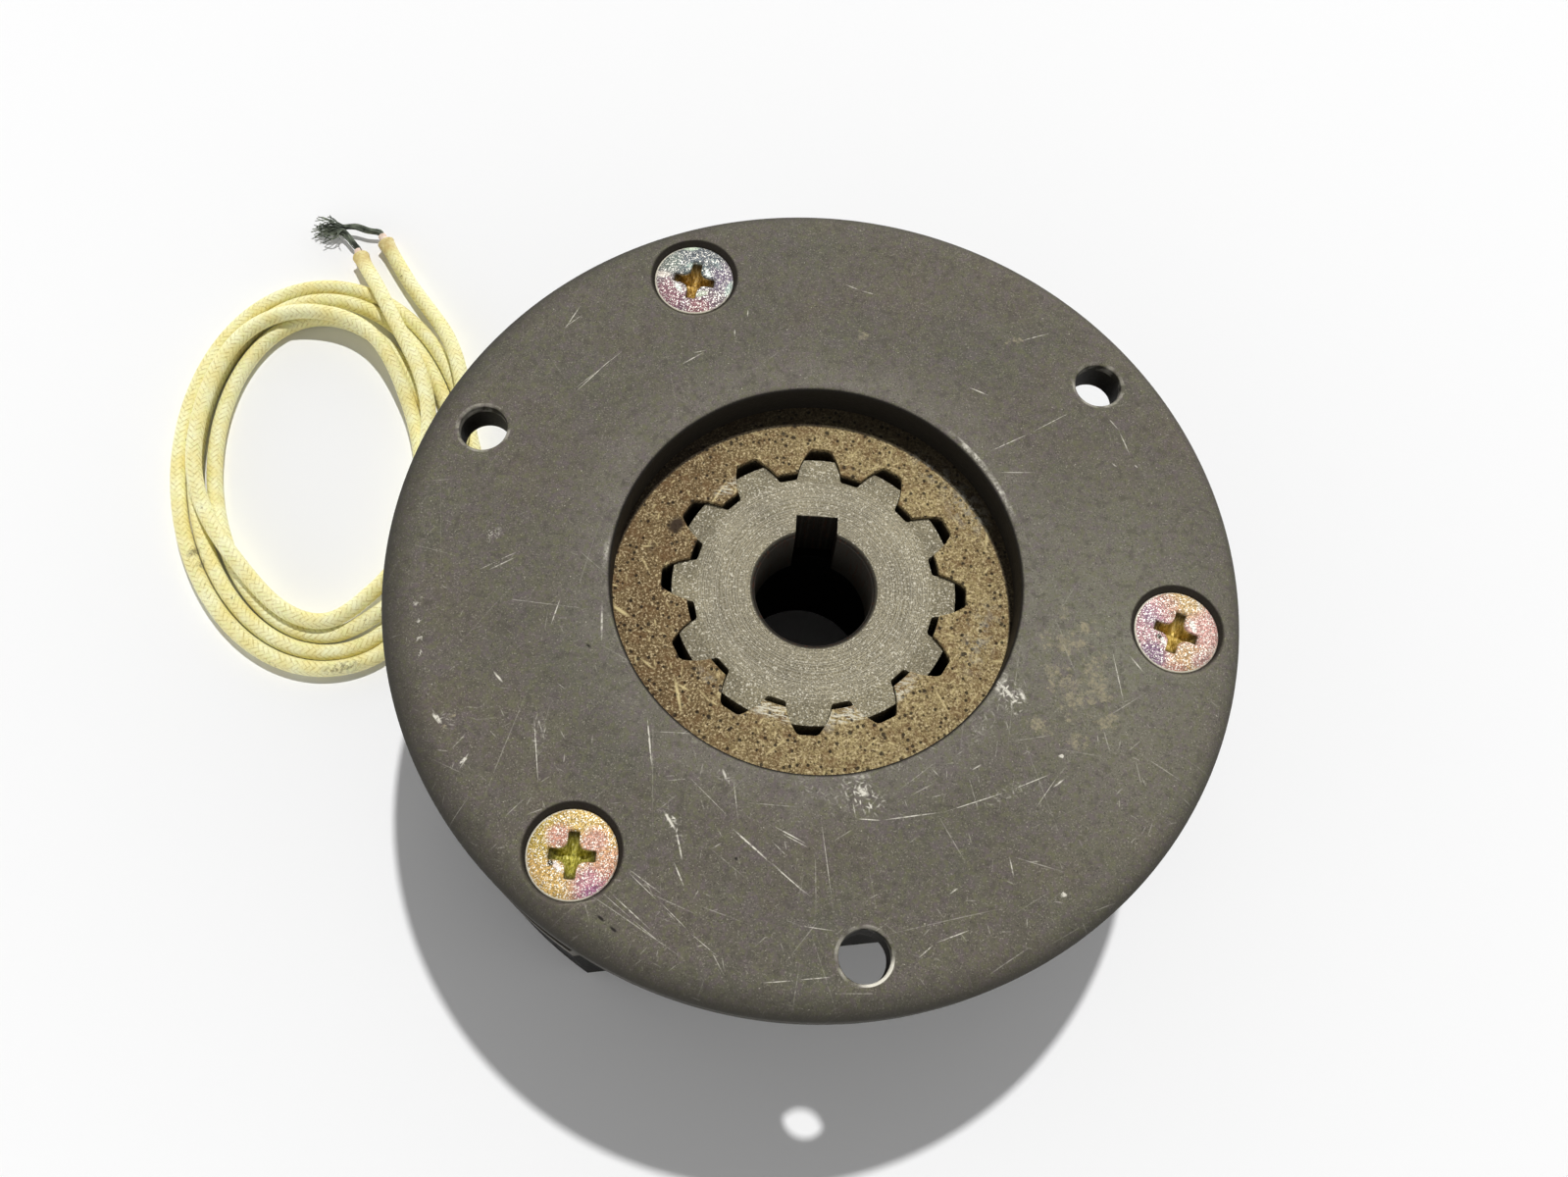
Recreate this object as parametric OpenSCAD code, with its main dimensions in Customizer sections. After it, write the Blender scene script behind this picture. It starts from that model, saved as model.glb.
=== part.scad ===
// Spring-applied disc brake: stator with coil and torque springs, armature, friction rotor on a
// splined hub, and a side plate held on three collars by countersunk screws.
// Origin on the axis at the stator's back face, +Z along the axis towards the side plate.

/* [Outline] */
// Distance from the centre of each mounting hole to the rim
mount_rim = 6.25; // [5.5:0.05:7.5]
// Distance from the axis of each screw to the rim
screw_rim = 7.5; // [7:0.1:8.5]
// Gap between each mounting hole and the flat behind it
flat_gap = 2.1; // [1.5:0.1:3]
// Angle from the first screw to the first mounting hole
mount_turn = 45; // [40:1:50]

/* [Side plate] */
// Thickness of the side plate
plate_t = 4.8; // [4.4:0.1:6]
// Width of the rotor's face that the opening shows outside the spline
opening_land = 5.5; // [4:0.1:7]
// Width of the rolled-over outer edge
edge_roll_w = 3; // [1:0.1:3.5]
// Depth of the rolled-over outer edge
edge_roll_h = 1.3; // [0.5:0.1:2]
// Width of the rounded edge of the opening
opening_roll_w = 1.2; // [0.4:0.1:2]
// Depth of the rounded edge of the opening
opening_roll_h = 1; // [0.4:0.1:1.6]
// Diameter of the mounting holes
mount_hole_d = 5.5; // [5.2:0.1:6]
// Chamfer at the mouth of each mounting hole
mount_chamfer = 0.5; // [0.2:0.1:0.8]

/* [Screws and collars] */
// Nominal diameter of the screws
screw_d = 5; // [4.5:0.1:5]
// Length of each screw, head included
screw_l = 25; // [22:1:28]
// Diameter of the countersunk heads
head_d = 9.7; // [9:0.1:10]
// Height of the straight rim of each head
head_rim = 0.2; // [0.1:0.1:0.4]
// Depth of the heads below the plate's face
head_sink = 0.45; // [0.2:0.05:0.6]
// Span of the cross recess
recess_span = 5; // [4:0.1:5.4]
// Width of each arm of the cross recess
recess_w = 1.15; // [0.9:0.05:1.4]
// Depth of the cross recess
recess_depth = 2; // [1.4:0.1:2.4]
// Outside diameter of the collars
collar_d = 8; // [7.6:0.1:8.6]

/* [Rotor and hub] */
// Gap between the friction rotor and the collars
rotor_collar_gap = 1.5; // [1:0.1:3]
// Thickness of the friction rotor
rotor_t = 6.5; // [5.5:0.1:8]
// Number of spline teeth
teeth = 12; // [10:1:14]
// Pitch diameter of the spline
pitch_d = 30; // [28:0.5:34]
// Pressure angle of the spline
pressure_angle = 20; // [18:1:22]
// Width of the space between two hub teeth on the pitch circle
space_w = 2.8; // [2.6:0.1:3.2]
// Height of the hub's teeth outside the pitch circle
addendum = 1.7; // [1.4:0.1:2]
// Depth of the hub's tooth spaces inside the pitch circle
dedendum = 0.8; // [0.6:0.1:1.1]
// Gap between the hub's tooth tips and the rotor's tooth roots
tip_gap = 1.3; // [0.4:0.1:1.6]
// Gap between the rotor's tooth tips and the hub's tooth roots
root_gap = 0.8; // [0.4:0.1:1]
// Depth of the hub's front face below the rotor's face
hub_sink = 0.6; // [0.2:0.1:1.2]
// Diameter of the hub's bore
bore_d = 14; // [12:0.5:15]
// Width of the keyway
key_w = 5; // [4:0.1:6]
// Depth of the keyway from the bore wall
key_depth = 2.3; // [1.8:0.1:2.6]
// Chamfer at both ends of the hub's bore
bore_chamfer = 0.5; // [0.2:0.1:0.8]
// Angle of the keyway, which lies behind one tooth
key_turn = 96; // [90:1:120]

/* [Armature] */
// Thickness of the armature
armature_t = 4.4; // [3.8:0.1:6]
// Air gap between armature and stator with the brake applied
air_gap = 0.2; // [0.1:0.05:0.4]

/* [Stator] */
// Height of the stator
stator_h = 20.3; // [19:0.1:24]
// Diameter of the shaft hole through the stator
shaft_hole_d = 17; // [16:0.5:20]
// Width of the coil slot
slot_w = 9.2; // [8:0.1:12]
// Depth of the coil slot
slot_depth = 13; // [12:0.1:14]
// Wall between the coil slot and the flats
outer_wall = 3.4; // [3:0.1:4.5]
// Wall between the spring pockets and the coil slot
pocket_wall = 1.6; // [1.2:0.1:2.5]
// Wall of the bobbin
bobbin_wall = 1; // [0.8:0.1:1.4]
// Thickness of the potting ring
potting_t = 1.7; // [1.2:0.1:2.5]
// Depth of the potting ring below the stator's face
potting_sink = 0.3; // [0.2:0.1:0.6]
// Edge break on turned edges
edge_break = 0.5; // [0.3:0.1:0.8]

/* [Torque springs] */
// Diameter of each spring pocket
pocket_d = 5.2; // [5:0.1:5.4]
// Depth of each spring pocket
pocket_depth = 11.5; // [10:0.1:13]
// Wire diameter of the springs
wire_d = 0.8; // [0.6:0.05:0.9]
// Number of turns of each spring
spring_turns = 6.5; // [5.5:0.5:7.5]

/* [Leads] */
// Outside diameter of each braided lead
lead_d = 2.2; // [2:0.1:2.4]
// Diameter of the bare conductor at each lead's end
conductor_d = 1.2; // [1:0.1:1.4]
// Height of the lead hole's axis above the floor of the coil slot
lead_rise = 3.3; // [3.3:0.1:5]
// Place of the lead hole along its flat, from the flat's middle
lead_offset = -6; // [-8:0.5:-4]
// Rubber between the two leads in the grommet
lead_web = 0.4; // [0.3:0.1:0.8]
// Wall of the grommet's stem outside the leads
grommet_wall = 0.7; // [0.5:0.1:1]
// Width of the grommet's flange outside its stem
grommet_lip = 1.2; // [0.8:0.1:1.6]
// Thickness of the grommet's flange
grommet_flange_t = 1.2; // [1:0.1:1.6]

/* [Hidden] */
$fn = 96;

// Counts that the nodes' names follow
screw_count = 3;
spring_count = 6;
// Angle of each screw's cross recess, as the screw was left when it was tightened
recess_turn = [77.5, 89, 5.3];

// Clearances
collar_screw_gap = 0.15;
collar_armature_gap = 0.3;
plate_hole_gap = 0.25;
thread_gap = 0.03;
flank_gap = 0.1;
hub_stator_gap = 0.5;
hub_armature_gap = 1.8;
spring_pocket_gap = 0.3;
bobbin_slot_gap = 0.2;
winding_gap = 0.8;
lead_grommet_gap = 0.05;
tap_runout = 1.5;
grommet_inset = 0.1;

// Diameters and distances from the axis, from the spline outwards
tooth_w = PI * pitch_d / teeth - space_w;
hub_tip_d = pitch_d + 2 * addendum;
hub_root_d = pitch_d - 2 * dedendum;
rotor_tip_d = hub_root_d + 2 * root_gap;
rotor_root_d = hub_tip_d + 2 * tip_gap;
opening_d = rotor_root_d + 2 * opening_land;
armature_hole_r = hub_tip_d / 2 + hub_armature_gap;
spring_r = armature_hole_r + pocket_d / 2;
slot_in_d = 2 * (spring_r + pocket_d / 2 + pocket_wall);
slot_out_d = slot_in_d + 2 * slot_w;
flat_reach = slot_out_d / 2 + outer_wall;
mount_r = flat_reach + flat_gap + mount_hole_d / 2;
unit_d = 2 * (mount_r + mount_rim);
screw_r = unit_d / 2 - screw_rim;
rotor_d = 2 * (screw_r - collar_d / 2 - rotor_collar_gap);
lead_pitch = lead_d + 2 * lead_grommet_gap + lead_web;
grommet_d = lead_pitch + lead_d + 2 * (lead_grommet_gap + grommet_wall);
grommet_flange_d = grommet_d + 2 * grommet_lip;

// Heights of the stack, from the stator's back face
armature_z = stator_h + air_gap;
rotor_z = armature_z + armature_t;
plate_z = rotor_z + rotor_t;
face_z = plate_z + plate_t;
hub_bottom_z = stator_h + hub_stator_gap;
hub_top_z = plate_z - hub_sink;
head_z = face_z - head_sink;
slot_z = stator_h - slot_depth;
bobbin_h = slot_depth - potting_t - potting_sink;
lead_z = slot_z + lead_rise;
pocket_z = stator_h - pocket_depth;

// Spline
base_r = pitch_d / 2 * cos(pressure_angle);
tooth_base_turn = (tooth_w / pitch_d + involute(pressure_angle)) * 180 / PI;
flank_steps = 5;
hub_tip_corner = 0.12;
rotor_root_corner = 0.4;
cut_margin = 1;

// Routes of the leads, one point for each ring of a tube
lead_turn = mount_turn + 120;
lead_normal = [cos(lead_turn), sin(lead_turn), 0];
lead_along = [-lead_normal.y, lead_normal.x, 0];
lead_bore_r = slot_out_d / 2 + grommet_inset;
mouth_r = flat_reach + grommet_flange_t + 1;
out_a_path = concat(lead_mouth(1 / 2), [[-43, 8, 9.4], [-45.4, 11.4, 6.4], [-47, 15.4, 3.5],
    [-48.8, 19.8, 1.6], [-50.8, 24, 1.1]]);
out_b_path = concat(lead_mouth(-1 / 2), [[-44, 4.6, 9.2], [-46.8, 6.8, 6.2], [-48.8, 10, 3.2],
    [-50.4, 14, 1.5], [-51.9, 18.2, 1.1]]);
tail_a_path = [[-53.2, 6, 1.6], [-53.6, 11, 3.3], [-53, 16.5, 3.4], [-52.6, 22.5, 3.4],
    [-53.4, 29, 3.4], [-55.6, 35.4, 3.4], [-58.8, 41, 2.7], [-63, 45.6, 1.5], [-67.2, 49.8, 1.1],
    [-70.8, 54, 1.1], [-73.4, 58, 1.1]];
tail_b_path = [[-55.6, 9, 1.6], [-56.1, 14, 3.3], [-56.8, 19.5, 3.4], [-57.6, 25, 3.4],
    [-59.2, 30.4, 3.4], [-62, 35.4, 3.4], [-65.4, 39.8, 3.4], [-68.8, 44.2, 3.4], [-71.8, 48.4, 2.6],
    [-74.2, 51.8, 1.5], [-75.8, 54.8, 1.1]];
end_a_path = [[-76.6, 59.4, 0.8], [-80, 59.6, 0.7], [-84, 59.4, 0.6]];
end_b_path = [[-77.6, 56.4, 0.8], [-79.8, 57.2, 0.7], [-82.4, 57.4, 0.6]];
end_stub = 1;
tube_sides = 8;

// The two turns of each lead, which lie in one oval band
loop_center = [-71, 17.7];
loop_half = [21.9, 29.6];
loop_band = [6.9, 7.6];
loop_lean = -14;
loop_points = 48;
loop_crest_x = -78;
loop_crest_h = 4.1;

function involute(angle) = tan(angle) - angle * PI / 180;
// Half the angle that a hub tooth takes up at radius r
function half_tooth(r) =
    tooth_base_turn - (r > base_r ? involute(acos(base_r / r)) * 180 / PI : 0);
function polar(r, turn) = [r * cos(turn), r * sin(turn)];
function unit(v) = v / norm(v);
function mount_angle(i) = mount_turn + 360 * i / screw_count;
function screw_angle(i) = 360 * i / screw_count;
// Two points on the axis of one lead hole, inside the stator's wall and clear of the grommet
function lead_mouth(side) = [for (r = [lead_bore_r, mouth_r])
    r * lead_normal - (lead_offset + side * lead_pitch) * lead_along + [0, 0, lead_z]];
function heading(path, i) =
    i == 0 ? unit(path[1] - path[0])
    : i == len(path) - 1 ? unit(path[i] - path[i - 1])
    : unit(unit(path[i] - path[i - 1]) + unit(path[i + 1] - path[i]));
// A conductor's path: straight on from its lead's end, then along its own points
function end_route(tail, path) = let (last = tail[len(tail) - 1])
    concat([last, last + end_stub * heading(tail, len(tail) - 1)], path);
function oval(inward) = [for (i = [0 : loop_points - 1]) let (t = 360 * i / loop_points)
    loop_center + [(loop_half.x - inward.x) * cos(t), (loop_half.y - inward.y) * sin(t + loop_lean)]];
// Height of a spring's wire after u turns: closed end turns and an even pitch between them
function coil_rise(u, length) = let (closed = wire_d * 1.05, middle = spring_turns - 2,
    pitch = (length - wire_d - 2 * closed) / middle)
    u < 1 ? closed * u
    : u < spring_turns - 1 ? closed + pitch * (u - 1)
    : closed + pitch * middle + closed * (u - spring_turns + 1);

// Copies of a child on the screw circle
module at_screws() {
    for (i = [0 : screw_count - 1]) at_screw(i) children();
}

module at_screw(i) {
    rotate(screw_angle(i)) translate([screw_r, 0, 0]) children();
}

// The three flats, as blocks outside flat_reach
module flat_cuts(h) {
    for (i = [0 : screw_count - 1])
        rotate(mount_angle(i)) translate([flat_reach, -unit_d / 2, -cut_margin])
            cube([unit_d / 2, unit_d, h + 2 * cut_margin]);
}

// A turned ring with all four edges broken
module turned_ring(r_in, r_out, h, chamfer) {
    rotate_extrude() polygon([[r_in + chamfer, 0], [r_out - chamfer, 0], [r_out, chamfer],
        [r_out, h - chamfer], [r_out - chamfer, h], [r_in + chamfer, h], [r_in, h - chamfer],
        [r_in, chamfer]]);
}

// Outline of the spline: root and tip radius, flanks moved out by gap, tip corners cut by corner
module spline_outline(root_r, tip_r, gap, corner) {
    step = (tip_r - corner - root_r) / flank_steps;
    rise = [for (s = [0 : flank_steps]) root_r + step * s];
    side = concat([for (r = rise) [r, half_tooth(r) + gap / r * 180 / PI]],
        [[tip_r, half_tooth(tip_r) + (gap - corner / 2) / tip_r * 180 / PI]]);
    polygon([for (i = [0 : teeth - 1]) let (middle = key_turn + 360 * i / teeth)
        each concat([for (p = side) polar(p[0], middle - p[1])],
            [for (k = [len(side) - 1 : -1 : 0]) polar(side[k][0], middle + side[k][1])])]);
}

// A tube of flat sides swept along a path, with a ring at each point
module swept_tube(path, d, sides) {
    rings = len(path);
    points = [for (i = [0 : rings - 1])
        let (ahead = heading(path, i), right = unit(cross(ahead, [0, 0, 1])), up = cross(right, ahead))
        for (k = [0 : sides - 1]) let (a = 360 * (k + 0.5) / sides)
            path[i] + d / 2 * (cos(a) * right + sin(a) * up)];
    walls = [for (i = [0 : rings - 2]) for (k = [0 : sides - 1])
        let (a = i * sides + k, b = i * sides + (k + 1) % sides)
            each [[a, b, b + sides], [a, b + sides, a + sides]]];
    first_end = [for (k = [sides - 1 : -1 : 0]) k];
    last_end = [for (k = [0 : sides - 1]) (rings - 1) * sides + k];
    polyhedron(points, concat([first_end], walls, [last_end]));
}

module side_plate() {
    roll = [for (a = [0 : 15 : 90])
        [unit_d / 2 - edge_roll_w * (1 - cos(a)), plate_t - edge_roll_h * (1 - sin(a))]];
    lip = [for (a = [90 : -15 : 0])
        [opening_d / 2 + opening_roll_w * (1 - cos(a)), plate_t - opening_roll_h * (1 - sin(a))]];
    sink_r = head_d / 2 + head_rim + head_sink;
    hole_r = screw_d / 2 + plate_hole_gap;
    color("#5c5650") translate([0, 0, plate_z]) difference() {
        rotate_extrude() polygon(concat([[opening_d / 2, edge_break / 2],
            [opening_d / 2 + edge_break / 2, 0], [unit_d / 2 - edge_break, 0],
            [unit_d / 2, edge_break]], roll, lip));
        at_screws() {
            translate([0, 0, -cut_margin]) cylinder(h = plate_t + 2 * cut_margin, r = hole_r);
            translate([0, 0, plate_t - sink_r + hole_r])
                cylinder(h = sink_r - hole_r + cut_margin, r1 = hole_r, r2 = sink_r + cut_margin);
        }
        for (i = [0 : screw_count - 1]) rotate(mount_angle(i)) translate([mount_r, 0, 0]) {
            translate([0, 0, -cut_margin])
                cylinder(h = plate_t + 2 * cut_margin, d = mount_hole_d);
            translate([0, 0, plate_t - mount_chamfer])
                cylinder(h = mount_chamfer + cut_margin, r1 = mount_hole_d / 2,
                    r2 = mount_hole_d / 2 + mount_chamfer + cut_margin);
        }
    }
}

module plate_screw(i) {
    cone_h = (head_d - screw_d) / 2;
    color("#b5a36a") at_screw(i) translate([0, 0, head_z - screw_l]) difference() {
        rotate_extrude() polygon([[0, 0], [screw_d / 2 - edge_break, 0],
            [screw_d / 2, edge_break], [screw_d / 2, screw_l - head_rim - cone_h],
            [head_d / 2, screw_l - head_rim], [head_d / 2, screw_l], [0, screw_l]]);
        translate([0, 0, screw_l - recess_depth]) rotate(recess_turn[i] - screw_angle(i))
            cross_recess();
    }
}

// Two crossed slots that narrow downwards to a blunt point, and a cone where they cross
module cross_recess() {
    top_h = recess_depth + cut_margin;
    taper = (recess_span / 2 - recess_w / 2) / recess_depth;
    intersection() {
        union() for (turn = [0, 90]) rotate(turn) translate([-recess_span, -recess_w / 2, 0])
            cube([2 * recess_span, recess_w, top_h]);
        cylinder(h = top_h, r1 = recess_w / 2, r2 = recess_w / 2 + taper * top_h);
    }
    cylinder(h = top_h, r1 = recess_w / 4, r2 = recess_w / 4 + recess_w / recess_depth * top_h);
}

module collar(i) {
    color("#a9a7a0") at_screw(i) translate([0, 0, stator_h])
        turned_ring(screw_d / 2 + collar_screw_gap, collar_d / 2, plate_z - stator_h, edge_break / 2);
}

module friction_rotor() {
    color("#7c6a48") translate([0, 0, rotor_z]) difference() {
        turned_ring(rotor_tip_d / 2 - cut_margin, rotor_d / 2, rotor_t, edge_break / 2);
        translate([0, 0, -cut_margin]) linear_extrude(rotor_t + 2 * cut_margin)
            spline_outline(rotor_tip_d / 2, rotor_root_d / 2, flank_gap, rotor_root_corner);
    }
}

module rotor_hub() {
    hub_l = hub_top_z - hub_bottom_z;
    color("#9a938a") translate([0, 0, hub_bottom_z]) difference() {
        intersection() {
            turned_ring(bore_d / 2 - cut_margin, hub_tip_d / 2, hub_l, edge_break / 2);
            translate([0, 0, -cut_margin]) linear_extrude(hub_l + 2 * cut_margin)
                spline_outline(hub_root_d / 2, hub_tip_d / 2, 0, hub_tip_corner);
        }
        translate([0, 0, -cut_margin]) cylinder(h = hub_l + 2 * cut_margin, d = bore_d);
        for (end = [0, 1]) translate([0, 0, end * hub_l]) mirror([0, 0, end])
            translate([0, 0, -cut_margin]) cylinder(h = bore_chamfer + cut_margin,
                r1 = bore_d / 2 + bore_chamfer + cut_margin, r2 = bore_d / 2);
        rotate(key_turn) translate([0, -key_w / 2, -cut_margin])
            cube([bore_d / 2 + key_depth, key_w, hub_l + 2 * cut_margin]);
    }
}

module armature() {
    color("#6f6a63") translate([0, 0, armature_z]) difference() {
        turned_ring(armature_hole_r, unit_d / 2, armature_t, edge_break / 2);
        flat_cuts(armature_t);
        at_screws() translate([0, 0, -cut_margin])
            cylinder(h = armature_t + 2 * cut_margin, r = collar_d / 2 + collar_armature_gap);
    }
}

module stator_yoke() {
    tap_z = head_z - screw_l - tap_runout;
    color("#4f4b47") difference() {
        turned_ring(shaft_hole_d / 2, unit_d / 2, stator_h, edge_break);
        flat_cuts(stator_h);
        translate([0, 0, slot_z]) difference() {
            cylinder(h = slot_depth + cut_margin, d = slot_out_d);
            translate([0, 0, -cut_margin]) cylinder(h = slot_depth + 3 * cut_margin, d = slot_in_d);
        }
        at_springs() cylinder(h = pocket_depth + cut_margin, d = pocket_d);
        at_screws() translate([0, 0, tap_z])
            cylinder(h = stator_h - tap_z + cut_margin, r = screw_d / 2 + thread_gap);
        along_leads(slot_out_d / 2 - cut_margin)
            cylinder(h = flat_reach - slot_out_d / 2 + 2 * cut_margin, d = grommet_d);
    }
}

module coil_bobbin() {
    r_in = slot_in_d / 2 + bobbin_slot_gap;
    r_out = slot_out_d / 2 - bobbin_slot_gap;
    color("#d8d2c0") translate([0, 0, slot_z]) rotate_extrude() polygon([[r_in, 0], [r_out, 0],
        [r_out, bobbin_wall], [r_in + bobbin_wall, bobbin_wall],
        [r_in + bobbin_wall, bobbin_h - bobbin_wall], [r_out, bobbin_h - bobbin_wall],
        [r_out, bobbin_h], [r_in, bobbin_h]]);
}

module coil_winding() {
    r_in = slot_in_d / 2 + bobbin_slot_gap + bobbin_wall;
    r_out = slot_out_d / 2 - bobbin_slot_gap - winding_gap;
    color("#a5582c") translate([0, 0, slot_z + bobbin_wall]) rotate_extrude()
        translate([r_in, 0]) square([r_out - r_in, bobbin_h - 2 * bobbin_wall]);
}

module coil_potting() {
    color("#2d2b29") translate([0, 0, slot_z + bobbin_h]) rotate_extrude()
        translate([slot_in_d / 2, 0])
            square([slot_w, potting_t]);
}

// Copies of a child at the foot of each spring pocket
module at_springs() {
    for (i = [0 : spring_count - 1]) at_spring(i) children();
}

module at_spring(i) {
    rotate(360 * (i + 0.5) / spring_count) translate([spring_r, 0, pocket_z]) children();
}

module torque_spring(i) {
    length = pocket_depth + air_gap;
    coil_r = pocket_d / 2 - spring_pocket_gap - wire_d / 2;
    steps = 12;
    wire_sides = 6;
    color("#8d8f92") at_spring(i) swept_tube([for (s = [0 : steps * spring_turns])
        [coil_r * cos(360 * s / steps), coil_r * sin(360 * s / steps),
            wire_d / 2 + coil_rise(s / steps, length)]], wire_d, wire_sides);
}

// Places a child at distance r along the axis of the lead hole
module along_leads(r) {
    translate(r * lead_normal - lead_offset * lead_along + [0, 0, lead_z])
        rotate([0, 90, lead_turn]) children();
}

module lead_grommet() {
    stem_l = flat_reach - lead_bore_r;
    color("#26241f") difference() {
        along_leads(lead_bore_r) rotate_extrude() polygon([[0, 0], [grommet_d / 2, 0],
            [grommet_d / 2, stem_l], [grommet_flange_d / 2, stem_l],
            [grommet_flange_d / 2, stem_l + grommet_flange_t], [0, stem_l + grommet_flange_t]]);
        for (side = [-1, 1]) along_leads(lead_bore_r - cut_margin)
            translate([0, side * lead_pitch / 2, 0])
                cylinder(h = stem_l + grommet_flange_t + 2 * cut_margin,
                    r = lead_d / 2 + lead_grommet_gap);
    }
}

// The leads' turns: an oval band, higher where one strand lies over the others
module lead_coil() {
    rim = [lead_d / 2, lead_d / 2];
    color("#e6dcae") {
        linear_extrude(lead_d) difference() {
            polygon(oval(-rim));
            polygon(oval(loop_band + rim));
        }
        intersection() {
            linear_extrude(loop_crest_h) difference() {
                polygon(oval(rim));
                polygon(oval(loop_band));
            }
            translate([loop_crest_x - unit_d, -unit_d, 0]) cube([unit_d, 2 * unit_d, unit_d]);
        }
    }
}

module lead_out_a() { color("#e6dcae") swept_tube(out_a_path, lead_d, tube_sides); }
module lead_out_b() { color("#e6dcae") swept_tube(out_b_path, lead_d, tube_sides); }
module lead_tail_a() { color("#e6dcae") swept_tube(tail_a_path, lead_d, tube_sides); }
module lead_tail_b() { color("#e6dcae") swept_tube(tail_b_path, lead_d, tube_sides); }

module lead_end_a() {
    color("#3d3f3c") swept_tube(end_route(tail_a_path, end_a_path), conductor_d, tube_sides);
}

module lead_end_b() {
    color("#3d3f3c") swept_tube(end_route(tail_b_path, end_b_path), conductor_d, tube_sides);
}

side_plate();
plate_screw(0);  // plate_screw_1
plate_screw(1);  // plate_screw_2
plate_screw(2);  // plate_screw_3
collar(0);  // collar_1
collar(1);  // collar_2
collar(2);  // collar_3
friction_rotor();
rotor_hub();
armature();
stator_yoke();
coil_bobbin();
coil_winding();
coil_potting();
torque_spring(0);  // torque_spring_1
torque_spring(1);  // torque_spring_2
torque_spring(2);  // torque_spring_3
torque_spring(3);  // torque_spring_4
torque_spring(4);  // torque_spring_5
torque_spring(5);  // torque_spring_6
lead_grommet();
lead_out_a();
lead_out_b();
lead_coil();
lead_tail_a();
lead_tail_b();
lead_end_a();
lead_end_b();
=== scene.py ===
# Looks for a spring-applied disc brake seen from above, with its two braided leads coiled beside it
import math
import random

import bpy
import numpy as np
from mathutils import Matrix, Vector


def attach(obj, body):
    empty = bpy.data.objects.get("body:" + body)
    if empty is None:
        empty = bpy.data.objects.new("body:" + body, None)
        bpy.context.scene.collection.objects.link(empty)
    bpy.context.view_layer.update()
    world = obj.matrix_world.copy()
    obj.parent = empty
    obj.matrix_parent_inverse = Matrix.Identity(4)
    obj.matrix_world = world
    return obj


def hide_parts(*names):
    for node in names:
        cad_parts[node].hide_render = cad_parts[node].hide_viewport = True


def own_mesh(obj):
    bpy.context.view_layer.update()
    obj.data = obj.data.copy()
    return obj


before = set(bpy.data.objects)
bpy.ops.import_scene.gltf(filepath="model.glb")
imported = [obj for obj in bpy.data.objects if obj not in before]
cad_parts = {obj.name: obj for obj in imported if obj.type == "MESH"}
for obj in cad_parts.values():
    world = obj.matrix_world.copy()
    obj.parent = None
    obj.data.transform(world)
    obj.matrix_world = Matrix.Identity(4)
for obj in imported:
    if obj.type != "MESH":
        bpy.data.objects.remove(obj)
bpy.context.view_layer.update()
mm = 0.001
print("frame loaded:", len(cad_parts), "nodes")


# node helpers, for materials and for the room's light

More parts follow.
